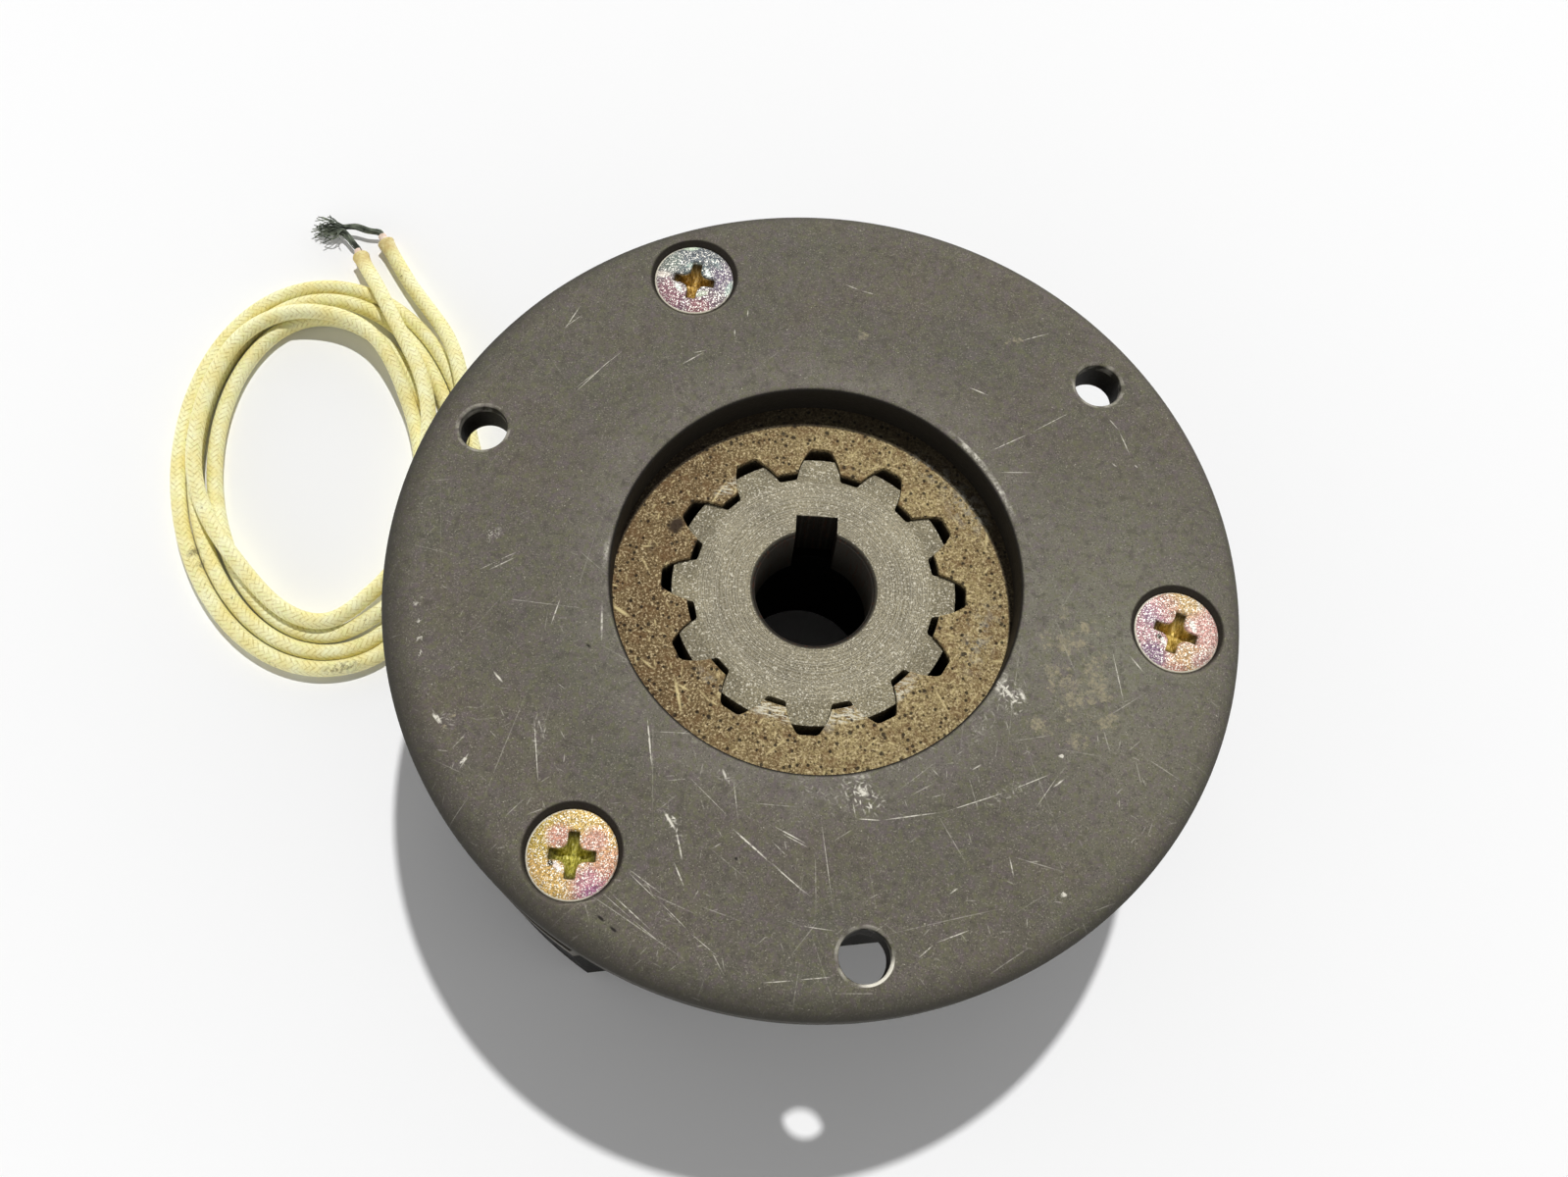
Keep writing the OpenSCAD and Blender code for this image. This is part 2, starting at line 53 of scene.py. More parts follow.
class Value:
    # what a node puts out: a number, a colour or a place; arithmetic with it adds the nodes it takes
    def __init__(self, owner, socket):
        self.owner = owner
        self.socket = socket

    def calc(self, operation, *others):
        # one step of arithmetic with numbers or other values
        node = addNode(self.owner, "ShaderNodeMath", {"operation": operation})
        for value, socket in zip((self, *others), node.inputs):
            put(value, socket)
        return Value(self.owner, node.outputs[0])

    def __add__(self, other):
        return self.calc("ADD", other)

    def __sub__(self, other):
        return self.calc("SUBTRACT", other)

    def __rsub__(self, other):
        return self.calc("MULTIPLY_ADD", -1, other)

    def __mul__(self, other):
        return self.calc("MULTIPLY", other)

    def __truediv__(self, other):
        return self.calc("DIVIDE", other)

    def __pow__(self, other):
        return self.calc("POWER", other)

    def __gt__(self, other):
        return self.calc("GREATER_THAN", other)

    def __lt__(self, other):
        return self.calc("LESS_THAN", other)

    def __abs__(self):
        return self.calc("ABSOLUTE")

    def clamped(self):
        # the sum just made, held between 0 and 1
        self.socket.node.use_clamp = True
        return self

    def split(self, kind="ShaderNodeSeparateXYZ"):
        # its three parts
        node = addNode(self.owner, kind)
        put(self, node.inputs[0])
        return [Value(self.owner, socket) for socket in node.outputs]

    def between(self, start, end, low=0, high=1, smooth=False):
        # low up to start, high from end on
        node = addNode(self.owner, "ShaderNodeMapRange",
                       {"interpolation_type": "SMOOTHSTEP" if smooth else "LINEAR"},
                       Value=self, From_Min=start, From_Max=end, To_Min=low, To_Max=high)
        return Value(self.owner, node.outputs[0])

    def band(self, low, high, soft):
        # 1 between low and high, fading over soft on both sides
        return self.between(low - soft, low, smooth=True) * self.between(high + soft, high, smooth=True)

    def ramp(self, *stops):
        # stops are (place, grey)
        node = addNode(self.owner, "ShaderNodeValToRGB")
        put(self, node.inputs[0])
        elements = node.color_ramp.elements
        elements.remove(elements[1])
        for k, (place, grey) in enumerate(stops):
            element = elements[0] if k == 0 else elements.new(place)
            element.position = place
            element.color = (grey, grey, grey, 1)
        return Value(self.owner, node.outputs[0])

    def noise(self, scale, detail=3, roughness=0.5, distortion=0):
        node = addNode(self.owner, "ShaderNodeTexNoise", Vector=self, Scale=scale, Detail=detail,
                       Roughness=roughness, Distortion=distortion)
        return Value(self.owner, node.outputs[0])

    def rings(self, scale, detail, roughness):
        # noise along one number, such as the distance from the axis
        node = addNode(self.owner, "ShaderNodeTexNoise", {"noise_dimensions": "1D"}, W=self, Scale=scale,
                       Detail=detail, Roughness=roughness)
        return Value(self.owner, node.outputs[0])

    def grit(self, scale, low, high, detail=2):
        # strong fine noise between two levels
        return self.noise(scale, detail, 0.6).ramp((0.34, low), (0.66, high))

    def cells(self, scale, dimensions="3D"):
        # cells at random: the distance to their middles, the middles, and three random numbers for each cell
        node = addNode(self.owner, "ShaderNodeTexVoronoi", {"voronoi_dimensions": dimensions},
                       Vector=self, Scale=scale)
        distance, middle, colour = (Value(self.owner, node.outputs[name])
                                    for name in ("Distance", "Position", "Color"))
        return distance, middle, colour.split("ShaderNodeSeparateColor")

    def moved(self, shift=(0, 0, 0), turn=0, scale=(1, 1, 1), kind="POINT"):
        # POINT moves the place, TEXTURE moves what is drawn there
        node = addNode(self.owner, "ShaderNodeMapping", {"vector_type": kind}, Vector=self,
                       Location=shift, Rotation=(0, 0, math.radians(turn)), Scale=scale)
        return Value(self.owner, node.outputs[0])

    def spot(self, middle, turn, half):
        # 1 in the middle, falling to 0 at the half lengths given
        node = addNode(self.owner, "ShaderNodeTexGradient", {"gradient_type": "SPHERICAL"},
                       Vector=self.moved(middle, turn, half, "TEXTURE"))
        return Value(self.owner, node.outputs[1])


def put(value, socket):
    # a value from a node is linked to the socket, a number or colour is set on it
    if isinstance(value, Value):
        value.owner.node_tree.links.new(value.socket, socket)
    else:
        socket.default_value = value


def addNode(owner, kind, settings=None, **values):
    # settings are the node's own properties, values are its sockets' by name
    node = owner.node_tree.nodes.new(kind)
    for key, value in (settings or {}).items():
        setattr(node, key, value)
    for key, value in values.items():
        put(value, node.inputs[key.replace("_", " ")])
    return node


def lay(base, share, colour, blend="MIX"):
    # a colour laid over the base by a share; plain colours are as on a screen, from 0 to 255
    owner = next(value.owner for value in (share, base, colour) if isinstance(value, Value))
    node = addNode(owner, "ShaderNodeMix", {"data_type": "RGBA", "blend_type": blend})
    for name, value in (("Factor_Float", share), ("A_Color", base), ("B_Color", colour)):
        socket = next(s for s in node.inputs if s.identifier == name)
        put((*srgb(*value), 1) if isinstance(value, tuple) else value, socket)
    return Value(owner, next(s for s in node.outputs if s.identifier == "Result_Color"))


def srgb(red, green, blue):
    # a colour given as it looks on a screen, from 0 to 255
    def level(x):
        x = x / 255
        return x / 12.92 if x <= 0.04045 else ((x + 0.055) / 1.055) ** 2.4
    return level(red), level(green), level(blue)

def newMaterial(name):
    material = bpy.data.materials.new(name)
    material.use_nodes = True
    return material


def setShader(material, **values):
    shader = material.node_tree.nodes["Principled BSDF"]
    for key, value in values.items():
        put(value, shader.inputs[key.replace("_", " ")])


def setBump(height, strength, distance):
    bump = addNode(height.owner, "ShaderNodeBump", Strength=strength, Distance=distance, Height=height)
    setShader(height.owner, Normal=Value(height.owner, bump.outputs["Normal"]))


def objectPlace(material, scale=(1, 1, 1), turn=0, shift=(0, 0, 0)):
    texture = addNode(material, "ShaderNodeTexCoord")
    return Value(material, texture.outputs["Object"]).moved(shift, turn, scale)


def radiusOf(place):
    # distance from the axis in millimetres, for rings and bands, and the place's three parts
    x, y, z = place.split()
    return (x ** 2 + y ** 2).calc("SQRT") * 1000, (x, y, z)


def markField(material, marks, height, depth=1.5):
    # soft-edged strokes and spots on a face: (x, y, degrees, half length, half width, strength) in mm
    place = objectPlace(material)
    total = 0
    for x, y, turn, half, width, strength in marks:
        glow = place.spot((x * mm, y * mm, height * mm), turn, (half * mm, width * mm, depth * mm))
        total = glow.calc("MULTIPLY_ADD", strength, total)
    return total


def cellStrokes(material, size, wide, share, seed):
    # straight scratches at random, at most one in each cell, each turned its own way; sizes in mm
    place = objectPlace(material, shift=(seed, seed * 0.7, 0))
    _, middle, (red, green, blue) = place.cells(1000 / size, "2D")
    away = addNode(material, "ShaderNodeVectorMath", {"operation": "SUBTRACT"})
    put(place, away.inputs[0])
    put(middle, away.inputs[1])
    turned = addNode(material, "ShaderNodeVectorRotate", {"rotation_type": "Z_AXIS"},
                     Vector=Value(material, away.outputs["Vector"]), Angle=red * 40)
    along, across, _ = Value(material, turned.outputs["Vector"]).split()
    bow = along ** 2 * (14 / size)
    line = (abs(across + bow) * (-1000 / wide) + 1).clamped()
    ends = (abs(along) * (-2600 / size) + 1.35).clamped()
    return line * ends * ((green > 1 - share) * (blue * 0.8 + 0.2))


# helpers for pieces

def pick(*pieces):
    # selects these alone; the first is the active one
    bpy.ops.object.select_all(action="DESELECT")
    for piece in pieces:
        piece.select_set(True)
    bpy.context.view_layer.objects.active = pieces[0]


def joinPieces(pieces):
    pick(*pieces)
    bpy.ops.object.join()
    return bpy.context.object


def dress(piece, body, slot, material, *nodes):
    # what a piece is made of, what it rides on and which nodes of the CAD part it stands for
    piece.data.materials.clear()
    piece.data.materials.append(material)
    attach(piece, body)
    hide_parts(*nodes)
    return piece


# camera, floor and light

view = {
    "place": (-0.00255, -0.05831, 0.1793),
    "turn": math.radians(-2.5), "tilt": 0.3699, "lean": 0.0216, "roll": 0.2047,
    "lens": 31.145, "sensor": 36,
}
floorLook = {"size": 3, "colour": (0.92, 0.92, 0.92), "height": -0.00002}
lamp = {"from": (0.0473, 0.4986, 1), "strength": 2.42, "width": math.radians(1.8),
        "zenith": 0.08, "horizon": 2.45, "fall": 2.4}


def addCamera():
    turn = Matrix.Rotation(view["turn"], 3, "Z") @ Matrix.Rotation(view["tilt"], 3, "X")
    turn = turn @ Matrix.Rotation(view["lean"], 3, "Y") @ Matrix.Rotation(view["roll"], 3, "Z")
    bpy.ops.object.camera_add(location=view["place"], rotation=turn.to_euler())
    camera = bpy.context.object
    camera.data.lens = view["lens"]
    camera.data.sensor_width = view["sensor"]
    camera.data.clip_start = 0.005
    bpy.context.scene.camera = camera


def addFloor():
    bpy.ops.mesh.primitive_plane_add(size=floorLook["size"], location=(0, 0, floorLook["height"]))
    floor = bpy.context.object
    floor.name = "paleFloor"
    paper = newMaterial("palePaper")
    setShader(paper, Base_Color=(*floorLook["colour"], 1), Roughness=0.9, Specular_IOR_Level=0)
    floor.data.materials.append(paper)


def addLight():
    aim = Vector(lamp["from"]).to_track_quat("Z", "Y").to_euler()
    bpy.ops.object.light_add(type="SUN", location=(0, 0.3, 0.6), rotation=aim)
    sun = bpy.context.object
    sun.data.energy = lamp["strength"]
    sun.data.angle = lamp["width"]
    world = bpy.data.worlds.new("paleRoom")
    world.use_nodes = True
    backdrop = world.node_tree.nodes["Background"]
    backdrop.inputs["Color"].default_value = (1, 1, 1, 1)
    # a pale room: bright low down all round, dim overhead
    place = Value(world, addNode(world, "ShaderNodeTexCoord").outputs["Generated"])
    low = (1 - place.split()[2]).clamped() ** lamp["fall"]
    put(low.between(0, 1, lamp["zenith"], lamp["horizon"]), backdrop.inputs["Strength"])
    bpy.context.scene.world = world
    bpy.context.scene.view_settings.view_transform = "Standard"


addCamera()
addFloor()
addLight()
print("camera, floor and light are in place")


# leads: two braided cords that leave the grommet, make two turns in an oval and end bare

lead = {
    "thickness": 2.2, "step": 0.2, "sides": 32,
    "angle": 165, "height": 10.6, "along": -6, "apart": 2.7,
    "radii": (34.6, 37.4, 40.1),  # inside the wall, in the grommet and at its mouth
    "centre": (-71, 17.7), "half": (21.9, 29.6), "lean": -14,
    "floor": 1.105, "touch": 2.28, "beside": 2.3, "lastTurn": 656, "turnStep": 9,
    "yarns": 8, "relief": 0.05, "flare": 0.22, "flareLength": 2.2, "sleeve": 0.62,
}
outPaths = {
    "a": [(-43, 8, 9.4), (-45.4, 11.4, 6.4), (-47, 15.4, 3.5), (-48.8, 19.8, 1.6)],
    "b": [(-44, 4.6, 9.2), (-46.8, 6.8, 6.2), (-48.8, 10, 3.2), (-50.4, 14, 1.5)],
}
tailPaths = {
    "a": [(-58.6, -4, 2.6), (-55.6, -1, 3.5), (-53.9, 2.6, 3.5), (-53.2, 6.5, 3.5), (-53.2, 11, 3.4),
          (-53, 16.5, 3.4), (-52.6, 22.5, 3.4), (-53.4, 29, 3.4), (-55.6, 35.4, 3.4), (-58.8, 41, 2.7),
          (-63, 45.6, 1.5), (-67.2, 49.8, 1.2), (-70.4, 53.6, 1.3), (-73.4, 57.2, 1.4)],
    "b": [(-59.2, -0.6, 3.4), (-57.2, 2.4, 3.5), (-56.2, 5.8, 3.5), (-56, 9.6, 3.4), (-56.1, 14, 3.4),
          (-56.8, 19.5, 3.4), (-57.6, 25, 3.4), (-59.2, 30.4, 3.4), (-62, 35.4, 3.4),
          (-65.4, 39.8, 3.4), (-68.8, 44.2, 3.4), (-71.4, 47.8, 3.2), (-74.2, 51, 1.9),
          (-76.2, 53.9, 1.4)],
}
turnStarts = {"a": 28, "b": 14}


def ease(x, low, high):
    share = min(1, max(0, (x - low) / (high - low)))
    return share * share * (3 - 2 * share)


def hump(x, middle, width):
    return max(0, 1 - ((x - middle) / width) ** 2) ** 2


def ovalPoint(turn, inward):
    # a point on the oval, moved inwards square to it
    a, lean = math.radians(turn), math.radians(lead["lean"])
    (cx, cy), (halfX, halfY) = lead["centre"], lead["half"]
    x, y = cx + halfX * math.cos(a), cy + halfY * math.sin(a + lean)
    dx, dy = -halfX * math.sin(a), halfY * math.cos(a + lean)
    size = math.hypot(dx, dy)
    return x - dy / size * inward, y + dx / size * inward


def strandPlace(turn, name):
    # how far inside the oval a strand lies, and how high, when it has come this far round
    outer = {"a": 0, "b": lead["beside"]}[name]
    change = ease(turn, 312, 364)
    if change == 0:
        return outer, lead["floor"]
    innerA = 5 + 0.5 * hump(turn % 360, 90, 60) - 0.4 * hump(turn % 360, 275, 60)
    if name == "a":
        return outer + (innerA - outer) * change, lead["floor"]
    inward = outer + (innerA + lead["beside"] - outer) * change
    if turn < 400:
        return inward, lead["floor"]
    inward += (innerA + 0.4 - inward) * ease(turn, 400, 445)  # up on lead a's inner turn
    inward += (2.75 - inward) * ease(turn, 470, 520)  # across to its own outer turn
    inward += (innerA + 1.35 - inward) * ease(turn, 560, 610)  # and back
    lift = max(math.sqrt(max(0, lead["touch"] ** 2 - (inward - under) ** 2)) for under in (innerA, outer))
    return inward, lead["floor"] + lift


def leadPoints(name):
    a = math.radians(lead["angle"])
    out, across = (math.cos(a), math.sin(a)), (-math.sin(a), math.cos(a))
    off = lead["along"] + lead["apart"] * {"a": 0.5, "b": -0.5}[name]
    points = [(r * out[0] - off * across[0], r * out[1] - off * across[1], lead["height"])
              for r in lead["radii"]]
    points += outPaths[name]
    first, last = turnStarts[name], lead["lastTurn"]
    count = int((last - first) / lead["turnStep"])
    for k in range(count + 1):
        turn = first + (last - first) * k / count
        inward, height = strandPlace(turn, name)
        points.append((*ovalPoint(turn, inward), height))
    return points + tailPaths[name]


def smoothLine(points, step, rounds=0):
    # evenly spaced points on a smooth curve through the given ones
    given = np.array(points, float)
    gaps = np.sqrt(np.linalg.norm(np.diff(given, axis=0), axis=1))
    knots = np.concatenate([[0], np.cumsum(gaps)])
    given = np.vstack([2 * given[0] - given[1], given, 2 * given[-1] - given[-2]])
    knots = np.concatenate([[knots[0] - gaps[0]], knots, [knots[-1] + gaps[-1]]])
    line = []
    for i in range(1, len(given) - 2):
        p, t = given[i - 1:i + 3], knots[i - 1:i + 3]
        for s in np.linspace(t[1], t[2], 16, endpoint=False):
            a = [((t[k + 1] - s) * p[k] + (s - t[k]) * p[k + 1]) / (t[k + 1] - t[k]) for k in range(3)]
            b = [((t[k + 2] - s) * a[k] + (s - t[k]) * a[k + 1]) / (t[k + 2] - t[k]) for k in range(2)]
            line.append(((t[2] - s) * b[0] + (s - t[1]) * b[1]) / (t[2] - t[1]))
    line = resample(np.array(line + [given[-2]]), step)
    for _ in range(rounds):
        line[1:-1] = (line[:-2] + 2 * line[1:-1] + line[2:]) / 4
    return resample(line, step)


def resample(line, step):
    along = np.concatenate([[0], np.cumsum(np.linalg.norm(np.diff(line, axis=0), axis=1))])
    at = np.linspace(0, along[-1], int(round(along[-1] / step)) + 1)
    return np.stack([np.interp(at, along, line[:, k]) for k in range(3)], axis=1)


def sweep(name, line, radii, sides, uvScale=1):
    # a tube along the line; radii is an array of rings by sides, or one radius for each ring
    line = np.array(line, float)
    rings = len(line)
    radii = np.array(radii, float)
    if radii.ndim == 1:
        radii = np.repeat(radii[:, None], sides, axis=1)
    ahead = np.gradient(line, axis=0)
    ahead /= np.linalg.norm(ahead, axis=1)[:, None]
    side = np.cross(ahead[0], (0.1, 0.2, 1))
    sideAxes = []
    for direction in ahead:  # carried along without twist
        side = side - direction * side.dot(direction)
        side = side / np.linalg.norm(side)
        sideAxes.append(side)
    right = np.array(sideAxes)
    up = np.cross(right, ahead)
    angles = np.arange(sides) * 2 * math.pi / sides
    wall = line[:, None] + radii[..., None] * (
        np.cos(angles)[None, :, None] * right[:, None] + np.sin(angles)[None, :, None] * up[:, None])
    points = [tuple(p) for p in wall.reshape(-1, 3) * mm]
    corners = [((i, k), (i, k + 1), (i + 1, k + 1), (i + 1, k))
               for i in range(rings - 1) for k in range(sides)]
    faces = [tuple(i * sides + k % sides for i, k in face) for face in corners]
    faces += [tuple(range(sides - 1, -1, -1)), tuple((rings - 1) * sides + k for k in range(sides))]
    mesh = bpy.data.meshes.new(name)
    mesh.from_pydata(points, [], faces)
    along = np.concatenate([[0], np.cumsum(np.linalg.norm(np.diff(line, axis=0), axis=1))])
    uv, toEnd = mesh.uv_layers.new(name="along"), mesh.uv_layers.new(name="toEnd")
    for face, places in zip(mesh.polygons, corners):
        for loop, (ring, turn) in zip(face.loop_indices, places):
            uv.data[loop].uv = (turn / sides, along[ring] * uvScale)
            toEnd.data[loop].uv = (turn / sides, along[-1] - along[ring])
    tube = bpy.data.objects.new(name, mesh)
    bpy.context.scene.collection.objects.link(tube)
    for face in mesh.polygons:
        face.use_smooth = True
    return tube


def braidHeight(around, along):
    # 0 to 1: two sets of yarns that cross, each over two and under two
    left = around * lead["yarns"] + along
    right = around * lead["yarns"] - along
    leftYarn = np.abs(np.cos(math.pi * left))
    rightYarn = np.abs(np.cos(math.pi * right))
    over = np.floor(left + 0.5) + np.floor(right + 0.5)
    leftOver = np.mod(over, 4) < 2
    return np.where(leftOver, 0.35 + 0.65 * leftYarn, 0.35 + 0.65 * rightYarn)


braidLook = {
    "pale": (255, 254, 206), "warm": (248, 237, 166), "green": (240, 242, 168), "gap": (186, 164, 82),
    "dirt": (104, 92, 56), "frayed": (198, 168, 96), "sleeve": (214, 176, 150),
    "sleevePale": (236, 218, 202), "sleeveLong": 1.25,
    "soiled": [(-85, 1.6, 60, 1.2, 0.7, 1.2), (-83.5, 0.1, 60, 0.9, 0.6, 1), (-60.6, -11.1, 20, 3.4, 1, 1)],
}


def braidMaterial():
    # glass-fibre braid, cream yellow, with painted shade in the gaps between its yarns and a few dirty
    # places
    material = newMaterial("yellowBraid")
    place = objectPlace(material)
    (around, along, _), (_, reach, _) = (
        Value(material, addNode(material, "ShaderNodeUVMap", {"uv_map": name}).outputs["UV"]).split()
        for name in ("along", "toEnd"))
    left = around * lead["yarns"] + along
    right = around * lead["yarns"] - along
    leftYarn, rightYarn = (abs((value * math.pi).calc("COSINE")) for value in (left, right))
    turn = (left.calc("ROUND") + right.calc("ROUND")) * (math.pi / 2) + math.pi / 4
    isOdd = turn.calc("SINE") < 0
    height = leftYarn * (1 - isOdd) + rightYarn * isOdd
    fibreTurn = left * (1 - isOdd) + right * isOdd
    fibres = abs((fibreTurn * (math.pi * 5)).calc("SINE"))
    fine = place.noise(3400, 3, 0.7)
    uneven = place.noise(1300, 4, 0.75).ramp((0.4, 0.1), (0.6, 1))
    base = lay(braidLook["pale"], place.noise(320).ramp((0.38, 0), (0.64, 1)), braidLook["warm"])
    base = lay(base, place.noise(700).ramp((0.5, 0), (0.68, 0.5)), braidLook["green"])
    # painted shade in the gaps between the yarns
    gaps = height.ramp((0.05, 0.85), (0.62, 0)) * uneven
    for share in (gaps, fibres * 0.16, fine.ramp((0.56, 0), (0.68, 0.45))):
        base = lay(base, share, braidLook["gap"])
    dirt = place.noise(620, 4, 0.75).ramp((0.67, 0), (0.7, 0.75))
    soiled = place.grit(2600, -0.6, 1.2) * markField(material, braidLook["soiled"], 2, 3)
    base = lay(base, (dirt + soiled).clamped(), braidLook["dirt"])
    # golden brown where the braid frays, and the pinkish inner sleeve beyond its end
    frayed = reach.band(-1, 2.2, 3.5) * place.grit(900, 0.35, 0.85, 3)
    base = lay(base, frayed, braidLook["frayed"])
    sleeve = lay(braidLook["sleeve"], uneven, braidLook["sleevePale"])
    base = lay(base, reach < braidLook["sleeveLong"], sleeve)
    setShader(material, Base_Color=base, Roughness=0.62, Sheen_Weight=0.15)
    setBump(height * 0.7 + fibres * 0.12 + fine * 0.5, 0.6, 0.00008)
    return material


def addLead(name, material):
    line = smoothLine(leadPoints(name), 0.5, 40)
    line = resample(line, lead["step"])
    sides, rings = lead["sides"], len(line)
    along = np.arange(rings) * lead["step"]
    around = np.arange(sides) / sides
    pitch = math.pi * lead["thickness"] / lead["yarns"]  # yarns cross at a right angle
    height = braidHeight(around[None, :], along[:, None] / pitch)
    left = along[-1] - along - braidLook["sleeveLong"]
    flare = 1 + lead["flare"] * np.clip(1 - left / lead["flareLength"], 0, 1) ** 2
    radii = (lead["thickness"] / 2 - lead["relief"] * (1 - height)) * flare[:, None]
    radii[left < 0] = lead["sleeve"]  # past the braid only the inner sleeve goes on
    piece = sweep(f"lead_{name}", line, radii, sides, uvScale=1 / pitch)
    dress(piece, "housing", "lead_braid", material, f"lead_out_{name}", f"lead_tail_{name}", "lead_coil")
    return piece, line


braid = braidMaterial()
leadA, lineA = addLead("a", braid)
leadB, lineB = addLead("b", braid)
print("leads laid:", round(len(lineA) * lead["step"]), "and", round(len(lineB) * lead["step"]), "mm long")


# bare conductors: fine wires that leave each sheath as a twisted bundle and fray to the left

strands = {
    "a": {"middle": [(-75.6, 57.6, 1.6), (-77.6, 57.9, 1.7), (-79.4, 57.6, 1.5)], "count": 44, "seed": 4,
          "spread": 15, "aim": 181, "length": 4.4, "curls": 0, "bundle": 0.38},
    "b": {"middle": [(-77.4, 55.2, 1.5), (-78.5, 56.2, 1.5), (-79.6, 56.9, 1.4)], "count": 36, "seed": 9,
          "spread": 16, "aim": 190, "length": 3.8, "curls": 6, "bundle": 0.46},
}
strandLook = {"wire": 0.08, "dark": (66, 72, 62), "pale": (142, 150, 132)}


def wireMaterial():
    material = newMaterial("tarnishedStrands")
    place = objectPlace(material)
    base = lay(strandLook["dark"], place.noise(900).ramp((0.35, 0), (0.7, 1)), strandLook["pale"])
    rough = place.noise(1500, 2).ramp((0.3, 0.35), (0.7, 0.65))
    setShader(material, Base_Color=base, Metallic=0.6, Roughness=rough)
    return material


def addStrands(name, line, material):
    spec = strands[name]
    chance = random.Random(spec["seed"])
    start, ahead = line[-1], line[-1] - line[-6]
    ahead = ahead / np.linalg.norm(ahead)
    wires = []
    for k in range(spec["count"]):
        turn, reach = chance.uniform(0, 2 * math.pi), math.sqrt(chance.uniform(0, 1))
        away = spec["bundle"] * reach
        tip = spec["length"] * chance.uniform(0.35, 1.1)
        points = []
        middle = [start - ahead * 0.8, start, start + ahead * 0.6] + [np.array(p) for p in spec["middle"]]
        for i, centre in enumerate(middle):
            twist = turn + i * 0.7
            points.append(centre + away * np.array((math.cos(twist), math.sin(twist), math.sin(twist + 1))))
        isCurl = k < spec["curls"]
        fan = math.radians(spec["aim"] + (60 - 9 * k if isCurl else chance.gauss(0, spec["spread"])))
        rise = chance.uniform(-0.16, 0.1)
        for i in range(1, 4):
            share = i / 3
            bend = fan + (chance.uniform(-0.9, 0.5) if isCurl else chance.uniform(-0.2, 0.2)) * share
            away = share * tip * np.array((math.cos(bend), math.sin(bend), rise * share))
            points.append(points[len(middle) - 1] + away)
        for point in points:
            point[2] = max(point[2], strandLook["wire"])
        path = smoothLine(points, 0.5)
        radius = strandLook["wire"] * chance.uniform(0.8, 1.15)
        wires.append(sweep("wire", path, np.full(len(path), radius), 5))
    piece = joinPieces(wires)
    piece.name = f"bare_strands_{name}"
    return dress(piece, "housing", "bare_conductor", material, f"lead_end_{name}")


tarnish = wireMaterial()
endA = addStrands("a", lineA, tarnish)
endB = addStrands("b", lineB, tarnish)
for piece, line, end in ((leadA, lineA, endA), (leadB, lineB, endB)):
    metres = line * mm
    [tuple(p) for p in metres[::5]] + [tuple(metres[-1])]
print("bare ends frayed")


# sizes that several pieces share, in mm and degrees, as in the CAD part; only the stator stops 0.02 short,
# so that the armature, pulled down, lies on it without cutting in

stack = {
    "outer": 49, "flat": 37.9, "stator": 20.28, "armature": (20.5, 24.9), "rotor": (24.9, 31.4),
    "plate": (31.4, 36.2), "hub": (20.8, 30.8),
    "screwCircle": 41.5, "mountCircle": 42.75, "springCircle": 21.1,
    "screwTurns": (0, 120, 240), "mountTurns": (45, 165, 285), "springTurns": (30, 90, 150, 210, 270, 330),
}


def onCircle(radius, degrees):
    return radius * math.cos(math.radians(degrees)), radius * math.sin(math.radians(degrees))


screwPlaces, mountPlaces, springPlaces = (
    [onCircle(stack[f"{kind}Circle"], turn) for turn in stack[f"{kind}Turns"]]
    for kind in ("screw", "mount", "spring"))


# turned, cut and rounded pieces

def startEdit():
    bpy.ops.object.mode_set(mode="EDIT")
    bpy.ops.mesh.select_all(action="SELECT")


def endEdit():
    # all faces are turned outwards
    bpy.ops.mesh.select_all(action="SELECT")
    bpy.ops.mesh.normals_make_consistent(inside=False)
    bpy.ops.object.mode_set(mode="OBJECT")


def keepPlace():
    # the place, turn and size go into the mesh
    bpy.ops.object.transform_apply(location=True, rotation=True, scale=True)


def scaleAcross(share):
    bpy.ops.transform.resize(value=(share, share, 1), center_override=(0, 0, 0))


def turnPiece(name, profile, sides=288, closed=True):
    # a ring turned about the axis: its outline is walked round, one extrusion for each corner
    bpy.ops.object.select_all(action="DESELECT")
    radius, height = profile[0]
    bpy.ops.mesh.primitive_circle_add(vertices=sides, radius=radius * mm, location=(0, 0, height * mm),
                                      fill_type="NOTHING" if closed else "NGON")
    piece = bpy.context.object
    piece.name = name
    keepPlace()
    startEdit()
    for nextRadius, nextHeight in profile[1:] + (profile[:1] if closed else []):
        bpy.ops.mesh.extrude_edges_move(TRANSFORM_OT_translate={"value": (0, 0, (nextHeight - height) * mm)})
        scaleAcross(nextRadius / radius)
        radius, height = nextRadius, nextHeight
    if not closed:
        bpy.ops.mesh.edge_face_add()
    bpy.ops.mesh.select_all(action="SELECT")
    bpy.ops.mesh.remove_doubles(threshold=2e-6)
    endEdit()
    return piece


def settle(piece, place=(0, 0, 0), turn=0):
    # puts a piece in its place and keeps the place in its mesh
    pick(piece)
    piece.location = [v * mm for v in place]
    piece.rotation_euler.z = turn
    keepPlace()


def copyPiece(piece, name, turn=0, place=(0, 0, 0)):
    # a copy with its own mesh, turned about the axis
    pick(piece)
    bpy.ops.object.duplicate(linked=False)
    twin = bpy.context.object
    twin.name = name
    settle(twin, place, turn)
    return twin


def applyModifier(piece, kind, **settings):
    pick(piece)
    change = piece.modifiers.new(kind.lower(), kind)
    for key, value in settings.items():
        setattr(change, key, value)
    bpy.ops.object.modifier_apply(modifier=change.name)


